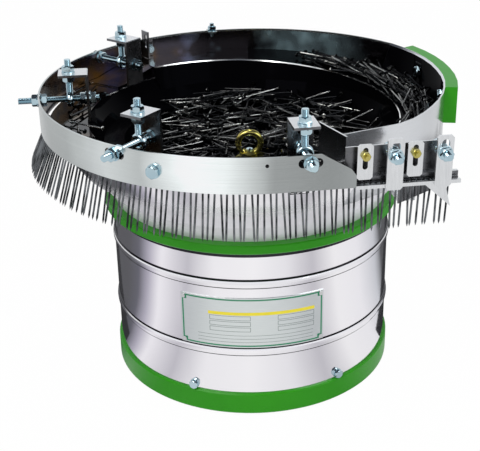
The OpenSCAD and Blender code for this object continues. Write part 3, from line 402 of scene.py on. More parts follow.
def printed_shape(inset, notch):
    """The plate's outline drawn in by inset, with a square notch at each corner."""
    half_w = plate_half_w - inset
    half_h = plate_half_h - inset
    inside = (side < half_w) * (level < half_h)
    corner = (side > half_w - notch) * (level > half_h - notch)
    return inside * (1.0 - corner)


def printed_box(left, low_edge, width, height):
    """A filled rectangle, by its lower left corner."""
    inside = (across > left) * (across < left + width)
    return inside * (along > low_edge) * (along < low_edge + height)


def printed_frame(left, low_edge, width, height, line=0.0006):
    """The outline of a rectangle, by its lower left corner."""
    inner = printed_box(left + line, low_edge + line, width - 2 * line, height - 2 * line)
    return printed_box(left, low_edge, width, height) - inner


border = printed_shape(0.0014, 0.0042) - printed_shape(0.0033, 0.0042)
stripe = printed_box(-0.0525, 0.0105, 0.128, 0.0042)
boxes = [
    printed_frame(left, low_edge, width, 0.0060)
    for left, width in ((-0.0510, 0.0490), (0.0300, 0.0450))
    for low_edge in (0.0035, -0.0040, -0.0115)
]
rules = [printed_box(-0.0660, low_edge, 0.1400, 0.0005) for low_edge in (-0.0170, -0.0215, -0.0260)]
fields = sum(boxes + rules).clip()
plate_lines = print_paint.add("ShaderNodeCombineXYZ", X=across * 60.0, Y=along * 2400.0)
plate_grain = print_paint.add("ShaderNodeTexNoise", Vector=plate_lines, Scale=1.0, Detail=3.0)
inked = print_paint.mix(plate_grain, (0.56, 0.60, 0.60), (0.72, 0.75, 0.74))
inked = print_paint.mix(fields, inked, (0.16, 0.20, 0.19))
inked = print_paint.mix(stripe, inked, (0.86, 0.72, 0.03))
inked = print_paint.mix(border.clip(), inked, (0.01, 0.22, 0.10))
ink = (border + stripe + fields).clip()
print_paint.put("Base Color", inked)
print_paint.put("Metallic", 0.85 - ink * 0.85)
print_paint.put("Roughness", plate_grain * 0.1 + 0.28)
wear(print_paint.material, "nameplate")

rivet_aluminium = Finish("rivet_aluminium", (0.72, 0.73, 0.72), 0.3, 1.0)
rivet_aluminium.put("Roughness", rivet_aluminium.noise(300.0) * 0.25 + 0.2)
wear(rivet_aluminium.material, "nameplate_rivets")

# ---------------------------------------------------------------------------
# Cable gland, spring packs and magnet: the drive under the bowl. Blued spring leaves, a laminated
# core, a lacquered copper winding, and a nylon gland for the supply.

nylon = Finish("black_nylon", (0.02, 0.02, 0.022), 0.45)
nylon.bump(nylon.noise(700.0, 2.0), 0.1, 0.0002)
nylon.put("Roughness", nylon.noise(30.0) * 0.2 + 0.36)
wear(nylon.material, "cable_gland")

blued = Finish("blued_spring_steel", (0.10, 0.12, 0.17), 0.35, 1.0)
heat = blued.noise(14.0, 3.0, 0.6)
blued.put("Base Color", blued.mix(heat, (0.06, 0.075, 0.12), (0.20, 0.19, 0.19)))
blued.put("Roughness", blued.noise(220.0) * 0.2 + 0.25)
wear(blued.material, "spring_pack_1", "spring_pack_2", "spring_pack_3")

iron = Finish("dark_iron", (0.10, 0.10, 0.105), 0.5, 0.9)
_, stack_y, _ = iron.axes()
layers = (stack_y * 2400.0).math("SINE") * 0.5 + 0.5
mill_scale = iron.noise(30.0, 3.0)
iron.put("Base Color", iron.mix(mill_scale, (0.07, 0.07, 0.075), (0.16, 0.155, 0.15)))
iron.bump(layers, 0.15, 0.0003)
wear(iron.material, "magnet_bracket", "magnet_core", "armature_plate", "armature_bolts")

copper = Finish("lacquered_winding", (0.42, 0.12, 0.045), 0.35, 0.6)
_, _, winding_z = copper.axes()
grooves_and_shade = (winding_z * 5200.0).math("SINE") * 0.5 + 0.5
# Painted shade: the colour darkens between the turns of wire, in the same grooves that the bump
# makes.
copper.put("Base Color", copper.mix(grooves_and_shade, (0.22, 0.05, 0.02), (0.5, 0.17, 0.07)))
copper.bump(grooves_and_shade, 0.4, 0.0004)
wear(copper.material, "magnet_coil")

# ---------------------------------------------------------------------------
# Bowl: sheets of polished stainless welded to a foot ring. Outside they are bright; inside, the
# floor, walls and tracks are coloured near black with blotches, as painted shade.

sheet_t = 0.002
ledge_top = 0.328
ledge_lip_r = 0.198
track_from = -62.0
track_low_z = 0.318
track_rise = 0.045
track_lip_r = 0.185
lip_turn_from = 40.0
lip_turn_to = 93.0
cut_edge_z = 0.3635
outer_skin_z = 0.305
# Radii inside which the deeper painted shade lies.
deep_shade_wall_r = 0.2015
deep_shade_floor_r = 0.197
outer_wall_r = 0.19
# Near-black blotchy colours for the painted shade inside the bowl.
inner_shade_tones = ((0.003, 0.003, 0.004), (0.024, 0.024, 0.028))


def track_level(az):
    """Height of the top track at a bearing in degrees, which may be a Wire."""
    return (az - track_from) * (track_rise / 360.0) + track_low_z


def shade_and_stain(steel, tones, bright_upright=0.0, lip=None):
    """Paints shade, a near-black blotchy colour, on the faces of a steel that look inwards or up.
    Deeper painted shade covers the inner wall and the right half of the tracks. Welding has blued
    the outer wall at the back, and it is rusty at the left. Upright walls stay bright by the share
    given, and a lip, given as its radius and height, is painted bright except at the far left.
    Low down, the outside is dull."""
    x, y, z, radius = steel.x, steel.y, steel.z, steel.radius
    nx, ny, nz = steel.normal()
    looks_in = (nx * x + ny * y) / radius * -1.0 > 0.15
    looks_up = nz > 0.35
    upright = abs(nz) < 0.06
    # Painted shade: faces that look inwards or up, below the cut edge, take a near-black blotchy
    # colour in place of bright steel.
    inside = (looks_in + looks_up).clip() * (1.0 - upright * bright_upright) * (z < cut_edge_z)

    # Deeper painted shade, nearly black, on the inner wall, the middle of the bowl and up-looking
    # faces at the right.
    low_wall = looks_in * (radius < deep_shade_wall_r) + (radius < deep_shade_floor_r)
    deep_shade = (low_wall + looks_up * (x > 0.0)).clip()
    outer = ((radius - outer_wall_r) * 25.0).clip() * (1.0 - deep_shade)
    at_back = (y * 5.0).clip() * (1.0 - abs(x + 0.02) * 4.5).clip()
    at_left = ((x + 0.08) * -9.0).clip()
    bluing = ((steel.noise(10.0, 3.0, 0.55) - 0.40) * 5.5).clip() * at_back * outer
    rusty = ((steel.noise(16.0, 3.0, 0.6) - 0.42) * 5.0).clip() * at_left * outer
    tempered = steel.mix(((x + 0.11) * 12.0).clip(), (0.40, 0.36, 0.74), (0.62, 0.92, 1.0))

    tone = steel.mix(steel.noise(5.5, 4.0, 0.6), *tones)
    tone = steel.mix(deep_shade, tone, (0.0015, 0.0015, 0.002))
    tone = steel.mix(bluing, tone, tempered)
    tone = steel.mix(rusty, tone, (0.21, 0.125, 0.04))
    if lip is not None:
        # A thin line along the lip is painted bright, except at the far left.
        on_lip = (abs(radius - lip[0]) < 0.0011) * (abs(z - lip[1]) < 0.0014)
        bright_lip = on_lip * ((x + 0.13) * 30.0).clip()
        tone = steel.mix(bright_lip, tone, (0.85, 0.85, 0.84))
        deep_shade = deep_shade * (1.0 - bright_lip)
    # The painted shade goes on the faces that look inwards or up.
    steel.put("Base Color", steel.mix(inside, steel.sheen, tone))

    dull = ((outer_skin_z - z) * 40.0).clip()
    bare = (1.0 - dull * (1.0 - inside) * 0.6) * (1.0 - bluing * inside * 0.75)
    steel.put("Roughness", steel.rough + dull * 0.36)
    steel.put("Metallic", bare * (1.0 - deep_shade * inside * 0.85))
    steel.put("Specular IOR Level", 0.0)


def choose(*pieces):
    """Selects these pieces and nothing else, with the first of them active."""
    bpy.ops.object.select_all(action="DESELECT")
    for piece in pieces:
        piece.select_set(True)
    if pieces:
        bpy.context.view_layer.objects.active = pieces[0]


def shade_turned(mesh):
    """Shades the facets that go round the upright axis as the true round surface they stand for."""
    normals = []
    for face in mesh.polygons:
        flat = face.normal
        level = math.hypot(flat.x, flat.y)
        reach = math.hypot(face.center.x, face.center.y)
        skew = abs(flat.x * face.center.y - flat.y * face.center.x)
        turned = level > 0.02 and skew < 0.06 * level * reach
        side = math.copysign(level, flat.x * face.center.x + flat.y * face.center.y)
        for corner in face.vertices:
            spot = mesh.vertices[corner].co
            r = math.hypot(spot.x, spot.y)
            normals.append((side * spot.x / r, side * spot.y / r, flat.z) if turned else flat[:])
    mesh.normals_split_custom_set(normals)


def smoothed(source, name, material, turned=False):
    """Puts in the place of a packed sheet a copy with its triangles merged and shaded smooth."""
    piece = bpy.data.objects.new(name, nodes[source].data.copy())
    bpy.context.scene.collection.objects.link(piece)
    choose(piece)
    bpy.ops.object.mode_set(mode="EDIT")
    bpy.ops.mesh.select_all(action="SELECT")
    bpy.ops.mesh.remove_doubles(threshold=0.00002)
    bpy.ops.object.mode_set(mode="OBJECT")
    if turned:
        bpy.ops.object.shade_smooth()
        shade_turned(piece.data)
    else:
        bpy.ops.object.shade_smooth_by_angle(angle=math.radians(40.0))
    piece.data.materials.clear()
    piece.data.materials.append(material)
    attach(piece, "bowl")
    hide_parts(source)


polished = (0.80, 0.79, 0.81)
skirt_steel = RoundSteel("bowl_stainless", polished, 0.035, 400.0, 0.3)
shade_and_stain(skirt_steel, inner_shade_tones, bright_upright=1.0)
smoothed("rim_skirt", "skirt_sheet", skirt_steel.material, turned=True)

ledge_steel = RoundSteel("ledge_stainless", polished, 0.05, 400.0, 0.3)
shade_and_stain(ledge_steel, inner_shade_tones, bright_upright=1.0, lip=(ledge_lip_r, ledge_top))
smoothed("slot_ledge", "ledge_sheet", ledge_steel.material, turned=True)

# The top track's lip moves out to the slot ledge's lip where the track narrows.

track_steel = RoundSteel("shaded_track_steel", (0.62, 0.62, 0.63), 0.14, 500.0, 0.4)
track_az = track_steel.angle * math.degrees(1.0)
narrowed = ((track_az - lip_turn_from) / (lip_turn_to - lip_turn_from)).clip()
lip_r = narrowed * (ledge_lip_r - track_lip_r) + track_lip_r
shade_and_stain(track_steel, inner_shade_tones, lip=(lip_r, track_level(track_az)))
for source in ("spiral_track", "top_track", "drop_ramp"):
    smoothed(source, source + "_sheet", track_steel.material)

shell_steel = RoundSteel("shell_steel", polished, 0.035, 400.0, 0.3)
shade_and_stain(shell_steel, inner_shade_tones)
smoothed("bowl_shell", "shell_sheet", shell_steel.material, turned=True)

wall_steel = RoundSteel("wall_steel", (0.70, 0.71, 0.73), 0.2, 700.0, 0.5)
shade_and_stain(wall_steel, inner_shade_tones)
smoothed("guard_wall", "guard_sheet", wall_steel.material)
wear(wall_steel.material, "end_baffle")

# ---------------------------------------------------------------------------
# Rim band and flat bar work: brushed stainless strip, bent round the bowl and bolted at its ends.
# The band's colour is painted brighter and darker round it by bearing, as painted highlight and
# shade.

band_steel = RoundSteel(
    "brushed_band", (0.80, 0.83, 0.83), 0.21, 2600.0, 0.9, blotch=0.9, dark=0.72
)
# Painted highlights and shade: the band's colour is brightened and darkened by bearing round it.
painted_gleams = [
    (0.18, 0.7), (0.29, 0.66), (0.325, 0.54), (0.355, 0.66), (0.395, 0.96), (0.425, 0.74),
    (0.455, 1.42), (0.478, 1.34), (0.51, 0.50), (0.55, 0.42), (0.58, 0.55), (0.62, 0.75),
    (0.70, 0.7),
]
painted_sweep = band_steel.add(
    "ShaderNodeValToRGB",
    {"stops": [(place, (shade, shade * 1.012, shade)) for place, shade in painted_gleams]},
    Fac=band_steel.bearing() + (band_steel.cloud - 0.5) * 0.05,
)
band_steel.sheen = band_steel.add(
    "ShaderNodeMix", {"data_type": "RGBA", "blend_type": "MULTIPLY"}, output=2,
    _0=1.0, _6=band_steel.sheen, _7=painted_sweep,
)
# Painted shade on the band's inner faces: near black with blotches.
shade_and_stain(band_steel, ((0.004, 0.004, 0.006), (0.085, 0.075, 0.085)))
wear(band_steel.material, "rim_band", "slot_rail", "rim_strap", "band_lugs")

bar_steel = Finish("brushed_bar", (0.74, 0.745, 0.75), 0.24, 1.0)
drawn_out = bar_steel.add(
    "ShaderNodeVectorMath", {"operation": "MULTIPLY"},
    _0=bar_steel.place(), _1=(500.0, 500.0, 60.0),
)
bar_lines = bar_steel.noise(1.0, 3.0, 0.6, drawn_out)
bar_steel.put("Base Color", bar_steel.mix(bar_lines, (0.62, 0.63, 0.64), (0.82, 0.825, 0.83)))
bar_steel.put("Roughness", bar_lines * 0.18 + 0.15)
bar_steel.bump(bar_lines, 0.1, 0.0002)
wear(
    bar_steel.material,
    "outer_rail", "outlet_stay", "holder_plates", "slotted_gates", "outlet_gusset",
)

blade_steel = Finish("sheared_blade", (0.5, 0.5, 0.5), 0.3, 1.0)
_, _, blade_nz = blade_steel.normal()
level_face = (abs(blade_nz) * 1.2).clip()
scuffs = blade_steel.noise(55.0, 4.0, 0.65)
oily = blade_steel.mix(scuffs, (0.05, 0.052, 0.058), (0.26, 0.26, 0.27))
blade_steel.put("Base Color", blade_steel.mix(level_face, oily, (0.74, 0.75, 0.76)))
blade_steel.put("Roughness", scuffs * 0.2 + 0.18)
wear(blade_steel.material, "wiper_blades", "gate_plate", "inner_rail", "outlet_back_plate")

# ---------------------------------------------------------------------------
# Fasteners: M8 studs, nuts, washers and hex bolts in clear blue zinc plate. The centre eye nut and
# the gate screws are chromated yellow.

zinc = Finish("blue_zinc", (0.60, 0.70, 0.76), 0.26, 1.0)
zinc_cloud = zinc.noise(30.0, 1.0, 0.5)
zinc.put("Base Color", zinc.mix(zinc_cloud, (0.36, 0.50, 0.58), (0.58, 0.71, 0.74)))
zinc.put("Roughness", zinc.noise(80.0, 1.0) * 0.06 + 0.11)
wear(
    zinc.material,
    "cover_screws", "lower_spring_bolts", "upper_spring_bolts", "magnet_bolts", "core_bolts",
    "centre_stud", "band_screws", "counterweight_screws", "wiper_washers", "gate_screw",
    "strap_bolt",
)

stud_r = 0.004
thread_pitch = 0.00125
crest_depth = 0.00002
root_depth = 0.00062
nut_h = 0.0064
washer_r = 0.008
washer_t = 0.0016


def turn(axis, degrees):
    return Matrix.Rotation(math.radians(degrees), 4, axis)


def move(x, y, z):
    return Matrix.Translation((x, y, z))


def threaded(name, length):
    """A stud up the Z axis with a rolled thread over its whole length, cut square at both ends."""
    thread_turns = int(length / thread_pitch) + 4
    choose()
    bpy.ops.mesh.primitive_grid_add(x_subdivisions=1, y_subdivisions=2 * thread_turns, size=0.1)
    rod = bpy.context.active_object
    rod.name = name
    bpy.ops.object.mode_set(mode="EDIT")
    bpy.ops.mesh.select_mode(type="VERT")
    bpy.ops.mesh.select_all(action="DESELECT")
    bpy.ops.object.mode_set(mode="OBJECT")
    for point in rod.data.vertices:
        point.select = point.co.x < 0.0
    bpy.ops.object.mode_set(mode="EDIT")
    bpy.ops.mesh.delete(type="VERT")
    bpy.ops.object.mode_set(mode="OBJECT")
    ladder = sorted(rod.data.vertices, key=lambda point: point.co.y)
    for k, point in enumerate(ladder):
        depth = root_depth if k % 2 else crest_depth
        point.co = Vector((stud_r - depth, 0.0, (k / 2.0 - 2.5) * thread_pitch))
    screw = rod.modifiers.new("thread", "SCREW")
    screw.angle = 2.0 * math.pi
    screw.screw_offset = thread_pitch
    screw.steps = 20
    screw.render_steps = 20
    screw.use_merge_vertices = True
    screw.merge_threshold = 0.000004
    bpy.ops.object.modifier_apply(modifier="thread")
    for height, toward in ((0.0, -1.0), (length, 1.0)):
        bpy.ops.object.mode_set(mode="EDIT")
        bpy.ops.mesh.select_all(action="SELECT")
        bpy.ops.mesh.bisect(
            plane_co=(0.0, 0.0, height), plane_no=(0.0, 0.0, toward),
            use_fill=True, clear_outer=True,
        )
        bpy.ops.object.mode_set(mode="OBJECT")
    bpy.ops.object.mode_set(mode="EDIT")
    bpy.ops.mesh.select_all(action="SELECT")
    bpy.ops.mesh.normals_make_consistent(inside=False)
    bpy.ops.object.mode_set(mode="OBJECT")
    bpy.ops.object.shade_smooth_by_angle(angle=math.radians(35.0))
    rod.data.materials.append(zinc.material)
    return rod


# One nut: a hexagon with the rims of its faces turned off, and a hole that its stud closes.

choose()
bpy.ops.mesh.primitive_cylinder_add(
    vertices=6, radius=0.0075, depth=nut_h, location=(0.0, 0.0, nut_h / 2)
)
nut = bpy.context.active_object
bpy.ops.object.transform_apply(location=True, rotation=True, scale=True)
choose()
bpy.ops.mesh.primitive_cylinder_add(
    vertices=48, radius=0.0078, depth=nut_h, location=(0.0, 0.0, nut_h / 2)
)
turned_blank = bpy.context.active_object
bpy.ops.object.transform_apply(location=True, rotation=True, scale=True)
chamfer = turned_blank.modifiers.new("chamfer", "BEVEL")
chamfer.width = 0.0013
chamfer.segments = 1
bpy.ops.object.modifier_apply(modifier="chamfer")
choose()
bpy.ops.mesh.primitive_cylinder_add(vertices=32, radius=0.00392, depth=0.02)
tap_drill = bpy.context.active_object
for operation, tool in (("INTERSECT", turned_blank), ("DIFFERENCE", tap_drill)):
    choose(nut)
    cut = nut.modifiers.new("cut", "BOOLEAN")
    cut.operation = operation
    cut.object = tool
    bpy.ops.object.modifier_apply(modifier="cut")
    bpy.data.objects.remove(tool)
bpy.ops.object.shade_smooth_by_angle(angle=math.radians(20.0))
nut.data.materials.append(zinc.material)


def fit_nut(spot, spin):
    """A copy of the nut, standing at spot with its hexagon turned by spin degrees."""
    copy = nut.copy()
    copy.data = nut.data.copy()
    copy.data.transform(spot @ turn("Z", spin))
    bpy.context.scene.collection.objects.link(copy)
    return copy


def joined(name, pieces, source):
    """Joins pieces into one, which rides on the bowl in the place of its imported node."""
    choose(*pieces)
    bpy.ops.object.join()
    pieces[0].name = name
    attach(pieces[0], "bowl")
    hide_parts(source)


# Each wiper stands on a threaded cross stud through the band and an eye bolt round that stud.
# A row is the wiper's bearing, its reach inwards and the stud's tail outwards. The last wiper
# stands on the band's straight tail, at the outlet. Every nut stopped at a turn of its own.

band_r = 0.2546
stud_z = 0.357
outlet_at = -80.0
tail_wiper_y = 0.0185
wipers = [
    (-173.5, 0.038, 0.024), (-124.0, 0.042, 0.018), (142.5, 0.043, 0.014), (None, 0.028, 0.017),
]
stud_behind = 0.035
shank_from = 0.008
shank_long = 0.041
eye_r = 0.0071
eye_wire_r = 0.0029
eye_stretch = 1.35
blade_back = 0.020
blade_t = 0.003
tab_rise = 0.033
band_seat = sheet_t + washer_r * washer_r / (2 * (band_r - sheet_t)) + 0.00001
studs = []
eyes = []
nuts = []
for bearing, inward, tail in wipers:
    if bearing is None:
        stand = turn("Z", outlet_at) @ move(band_r, tail_wiper_y, stud_z)
    else:
        stand = turn("Z", bearing) @ move(band_r, 0.0, stud_z)
    along_stud = stand @ turn("Y", 90.0)
    at_eye = stand @ move(-inward, 0.0, 0.0)
    behind = inward + stud_behind
    stud = threaded("stud", behind + tail)
    stud.data.transform(along_stud @ move(0.0, 0.0, -behind))
    studs.append(stud)
    shank = threaded("shank", shank_long)
    shank.data.transform(at_eye @ move(0.0, 0.0, shank_from))
    choose()
    bpy.ops.mesh.primitive_torus_add(
        major_segments=40, minor_segments=16, major_radius=eye_r, minor_radius=eye_wire_r
    )
    eye_ring = bpy.context.active_object
    bpy.ops.object.mode_set(mode="EDIT")
    bpy.ops.mesh.select_all(action="SELECT")
    bpy.ops.transform.resize(value=(1.0, 1.0, eye_stretch))
    bpy.ops.object.mode_set(mode="OBJECT")
    bpy.ops.object.shade_smooth()
    eye_ring.data.materials.append(zinc.material)
    eye_ring.data.transform(at_eye @ turn("Y", 90.0))
    eyes += [shank, eye_ring]
    on_stud = (
        washer_t,
        -band_seat - washer_t - nut_h,
        washer_t - inward - blade_back,
        -inward - blade_back - blade_t - washer_t - nut_h,
    )
    for k, height in enumerate(on_stud):
        nuts.append(fit_nut(along_stud @ move(0.0, 0.0, height), 17.0 * k + inward * 900.0))
    on_shank = (tab_rise + washer_t, tab_rise - blade_t - washer_t - nut_h)
    for k, height in enumerate(on_shank):
        nuts.append(fit_nut(at_eye @ move(0.0, 0.0, height), 23.0 * k + inward * 700.0))
joined("threaded_studs", studs, "cross_studs")
joined("threaded_eye_bolts", eyes, "eye_bolts")
joined("chamfered_nuts", nuts, "wiper_nuts")

# Two more studs carry the holder plates of the outlet, which starts in line with the rim's slot.

slot_r = 0.2482
outlet_fall = 1.0
outlet_frame = (
    turn("Z", outlet_at) @ move(slot_r, 0.0, ledge_top - sheet_t)
    @ turn("Z", 90.0) @ turn("Y", outlet_fall)
)
holder_xs = (0.107, 0.160)
holder_stud_z = 0.034
holder_stud_long = 0.0432
holder_stud_from = -0.0244
holder_washer_at = -0.0110
holder_nuts_at = (holder_washer_at - nut_h, 0.0020, 0.0104)
studs = []
nuts = []
for holder_x in holder_xs:
    stand = outlet_frame @ move(holder_x, 0.0, holder_stud_z) @ turn("X", -90.0)
    stud = threaded("stud", holder_stud_long)
    stud.data.transform(stand @ move(0.0, 0.0, holder_stud_from))
    studs.append(stud)
    choose()
    bpy.ops.mesh.primitive_cylinder_add(vertices=40, radius=washer_r, depth=washer_t)
    washer = bpy.context.active_object
    punched = washer.modifiers.new("edge", "BEVEL")
    punched.width = 0.0003
    punched.segments = 2
    bpy.ops.object.modifier_apply(modifier="edge")
    bpy.ops.object.shade_smooth_by_angle(angle=math.radians(30.0))
    washer.data.materials.append(zinc.material)
    washer.data.transform(stand @ move(0.0, 0.0, holder_washer_at + washer_t / 2))
    nuts.append(washer)
    for k, height in enumerate(holder_nuts_at):
        nuts.append(fit_nut(stand @ move(0.0, 0.0, height), 31.0 * k + 150.0 * holder_x))
joined("outlet_threaded_studs", studs, "outlet_studs")
joined("outlet_chamfered_nuts", nuts, "outlet_nuts")
bpy.data.objects.remove(nut)

yellow_zinc = Finish("yellow_zinc", (0.62, 0.50, 0.12), 0.26, 1.0)
chromate = yellow_zinc.noise(50.0, 1.0, 0.5)
yellow_zinc.put("Base Color", yellow_zinc.mix(chromate, (0.34, 0.34, 0.07), (0.62, 0.50, 0.18)))
yellow_zinc.put("Roughness", yellow_zinc.noise(60.0, 1.0) * 0.08 + 0.2)
wear(yellow_zinc.material, "eye_nut", "centre_washer", "gate_screws")

# ---------------------------------------------------------------------------
# Nails: drawn wire with a flat head and a cut point, coloured dark, with a few painted bright as
# highlights. They hang by their heads in the slot and lie heaped in the bowl.

nail_wire = Finish("nail_wire", (0.34, 0.35, 0.37), 0.34, 1.0)
one_nail = nail_wire.add("ShaderNodeNewGeometry", output="Random Per Island")
# Painted highlights: at random per nail and in patches, some nails are coloured bright for the
# glints of light along them; the rest are near black.
glint_patches = ((nail_wire.noise(40.0, 2.0) - 0.30) * 4.0).clip()
glint_tone = ((one_nail - 0.55) * 2.6).clip() * glint_patches
nail_wire.put("Base Color", nail_wire.mix(glint_tone, (0.02, 0.021, 0.023), (0.62, 0.62, 0.60)))
nail_wire.put("Roughness", nail_wire.noise(900.0) * 0.12 + 0.16)
wear(nail_wire.material, "hanging_nails", "loose_nails")

hung_wire = Finish("hung_nail_wire", (0.12, 0.12, 0.125), 0.28, 1.0)
hung_tone = ((hung_wire.noise(60.0, 2.0) - 0.40) * 4.0).clip()
hung_wire.put("Base Color", hung_wire.mix(hung_tone, (0.028, 0.030, 0.033), (0.18, 0.19, 0.20)))

nail_long = 0.057
nail_r = 0.00115
nail_point = 0.004
nail_head_r = 0.0031
nail_head_t = 0.0012


def pick(piece, test):
    """Selects the faces of a piece, in edit mode, whose middle and normal pass the test."""
    choose(piece)
    bpy.ops.object.mode_set(mode="EDIT")
    bpy.ops.mesh.select_mode(type="FACE")
    bpy.ops.mesh.select_all(action="DESELECT")
    bpy.ops.object.mode_set(mode="OBJECT")
    for face in piece.data.polygons:
        face.select = test(face.center, face.normal)
    bpy.ops.object.mode_set(mode="EDIT")


def pull(height, grow=1.0):
    """Extrudes the picked faces up by height and scales their new ends across Z."""
    bpy.ops.mesh.extrude_region_move(TRANSFORM_OT_translate={"value": (0.0, 0.0, height)})
    bpy.ops.transform.resize(value=(grow, grow, 1.0), center_override=(0.0, 0.0, 0.0))


plain_shank = nail_long - nail_head_t - nail_point
choose()
bpy.ops.mesh.primitive_cylinder_add(
    vertices=8, radius=nail_r, depth=plain_shank, end_fill_type="NGON",
    location=(0.0, 0.0, -plain_shank / 2),
)
nail = bpy.context.active_object
bpy.ops.object.transform_apply(location=True, rotation=True, scale=True)
pick(nail, lambda middle, normal: normal.z < -0.9)
pull(-nail_point, 0.12)
bpy.ops.object.mode_set(mode="OBJECT")
pick(nail, lambda middle, normal: normal.z > 0.9)
pull(0.0, nail_head_r / nail_r)
pull(nail_head_t * 0.7)
pull(nail_head_t * 0.3, 0.8)
bpy.ops.object.mode_set(mode="OBJECT")
nail.data.materials.append(nail_wire.material)
bpy.ops.object.shade_smooth_by_angle(angle=math.radians(50.0))


def lay(name, pattern, places):
    """Copies a pattern piece to each place and joins the copies into one piece."""
    copies = []
    for spot in places:
        copy = pattern.copy()
        copy.data = pattern.data.copy()
        copy.data.transform(spot)
        bpy.context.scene.collection.objects.link(copy)
        copies.append(copy)
    choose(*copies)
    bpy.ops.object.join()
    copies[0].name = name
    return copies[0]


def between(value, table):
    """Reads a table of (value, result) pairs, with straight lines between them."""
    for (a, p), (b, q) in zip(table, table[1:]):
        if value <= b:
            return p + (q - p) * max(0.0, value - a) / (b - a)
    return table[-1][1]


# The row of nails that hangs by its heads in the slot, round the front and out along the outlet.
# They lean outwards, most at the left, and rest on the slot's edges.

nail_step = 0.0064
row_from = 360.0 + outlet_at
row_to = 182.0
outlet_nails = 27
leans = [(181.0, 25.0), (200.0, 24.0), (215.0, 19.0), (235.0, 16.0), (280.0, 11.0)]
clear = 0.00002


def hang(lean, sway):
    """Where a nail hangs that leans outwards and sways along the slot, by degrees."""
    lift = nail_head_r * math.sin(math.radians(lean)) + clear
    out = -(lift + sheet_t / 2) * math.tan(math.radians(lean))
    return move(out, 0.0, lift) @ turn("Y", -lean) @ turn("X", sway)


def swing(k):
    """How far nail k sways: each differs from the next, and a little by chance."""
    return 2.1 * math.sin(math.radians(k * 137.5)) + random.uniform(-1.0, 1.0)


random.seed(7)
row = []
step_turn = math.degrees(nail_step / slot_r)
for k in range(int((row_from - row_to) / step_turn) + 1):
    az = row_from - (k + 0.5) * step_turn
    sway = swing(k)
    spot = turn("Z", az) @ move(slot_r, 0.0, ledge_top)
    row.append(spot @ hang(between(az, leans), sway) @ turn("Z", random.uniform(0.0, 45.0)))
for k in range(outlet_nails):
    along_slot = (k + 0.5) * nail_step
    lean = max(-6.0, 11.0 - along_slot / 0.008)
    sway = swing(k)
    spot = outlet_frame @ move(along_slot, 0.0, sheet_t) @ turn("Y", -outlet_fall) @ turn("Z", -90.0)
    spot = spot @ move(0.0, 0.0, nail_head_r * math.sin(math.radians(outlet_fall)))
    row.append(spot @ hang(lean, sway) @ turn("Z", random.uniform(0.0, 45.0)))
hung = lay("hung_nails", nail, row)
hung.data.materials.clear()
hung.data.materials.append(hung_wire.material)
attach(hung, "bowl")
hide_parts("hanging_nails")

# The heap: hundreds of nails lying across each other, deep at the back of the bowl.

heap_nails = 760
heap_r = 0.168
heap_deep = 0.013
dome_r = 0.021
wall_r = 0.181
heap_limit_z = 0.316
rest_h = 0.004
floor_heights = [
    (0.0, 0.269), (0.026, 0.266), (0.054, 0.250), (0.142, 0.248), (0.15, 0.251), (0.185, 0.312),
]


def floor_at(r):
    """Height that a nail's middle can sink to, by its radius."""
    return between(r, floor_heights) + rest_h


def heap_top(x, y):
    """Height of the heap: it rises to the back and falls away at both sides."""
    deep = 0.270 + 0.19 * max(0.0, y + 0.03)
    if x < -0.08:
        deep -= 0.22 * (-0.08 - x)
    if x > 0.12:
        deep -= 0.10 * (x - 0.12)
    return min(0.304, deep)


def heading_to(degrees):
    """A level arrow of length 1 at a bearing."""
    return Vector((math.cos(math.radians(degrees)), math.sin(math.radians(degrees)), 0.0))


def lie(x, y, z, yaw, tilt):
    """Where a nail lies whose middle is at a spot, by the bearing of its head and its tilt."""
    return move(x, y, z) @ turn("Z", yaw) @ turn("Y", 90.0 - tilt) @ move(0.0, 0.0, nail_long / 2)


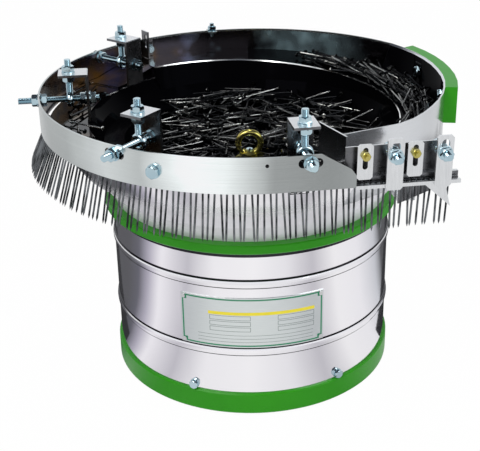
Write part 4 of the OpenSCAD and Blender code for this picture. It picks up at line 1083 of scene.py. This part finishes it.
random.seed(23)
heap = []
while len(heap) < heap_nails:
    r = heap_r * math.sqrt(random.random())
    az = random.uniform(-180.0, 180.0)
    middle = heading_to(az) * r
    if r < dome_r or (middle.x < -0.10 and middle.y < 0.10):
        continue
    level = heap_top(middle.x, middle.y) - heap_deep * random.random() ** 1.6
    if level < floor_at(r):
        level = floor_at(r) + 0.002 * random.random()
    yaw = random.uniform(0.0, 360.0)
    ends = [middle + heading_to(yaw) * (nail_long * part) for part in (-0.5, 0.5)]
    rise = [max(level, floor_at(end.length)) for end in ends]
    if max(rise) > heap_limit_z or max(end.length for end in ends) > wall_r:
        continue
    tilt = math.degrees(math.asin(max(-0.9, min(0.9, (rise[1] - rise[0]) / nail_long))))
    tilt += random.gauss(0.0, 4.0)
    heap.append(lie(middle.x, middle.y, (rise[0] + rise[1]) / 2, yaw, tilt))

# Strays lie along the top track at the right and on the slot ledge at the left.

track_strays = 190
ledge_strays = 15
stray_rest = 0.0034
edge_clear = 0.004
ledge_edge_r = 0.245
track_edges = [
    (-44.0, 0.226), (-38.0, 0.230), (-8.0, 0.235), (10.0, 0.240), (28.0, 0.248), (40.0, 0.251),
]
drift_inner = [(lip_turn_from, 0.190), (lip_turn_to, 0.203)]
drift_outer = [(-24.0, 0.222), (10.0, 0.236), (62.0, 0.213)]


def stray(az, r, level, skew, lift, edge):
    """A nail lying along the track at bearing az, skewed by some degrees and raised on others, or
    None where it would reach past the track's outer edge."""
    middle = heading_to(az) * r
    yaw = az + 90.0 + skew
    reach = heading_to(yaw) * (nail_long / 2)
    heights = []
    for end in (middle - reach, middle + reach):
        bearing = math.degrees(math.atan2(end.y, end.x))
        if end.length > edge(bearing) - edge_clear:
            return None
        heights.append(level(bearing) + lift)
    tilt = math.degrees(math.asin((heights[1] - heights[0]) / nail_long))
    tilt += random.uniform(0.0, 1.5) + random.uniform(0.0, 5.0) * (lift > 0.005)
    return lie(middle.x, middle.y, sum(heights) / 2, yaw, tilt)


for k in range(track_strays):
    az = random.uniform(-24.0, 62.0) if k % 3 else random.gauss(38.0, 12.0)
    r = random.uniform(between(az, drift_inner), between(az, drift_outer))
    lift = stray_rest + 0.009 * random.random() ** 2
    skew = random.gauss(-5.0, 15.0)
    heap.append(stray(az, r, track_level, skew, lift, lambda at: between(at, track_edges)))
for k in range(ledge_strays):
    az = random.uniform(150.0, 205.0)
    r = random.uniform(0.203, 0.238)
    lift = stray_rest + 0.005 * random.random() ** 2
    skew = random.gauss(0.0, 14.0)
    heap.append(stray(az, r, lambda at: ledge_top, skew, lift, lambda at: ledge_edge_r))
heaped = lay("heaped_nails", nail, [spot for spot in heap if spot])
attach(heaped, "bowl")
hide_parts("loose_nails")

bpy.data.objects.remove(nail)
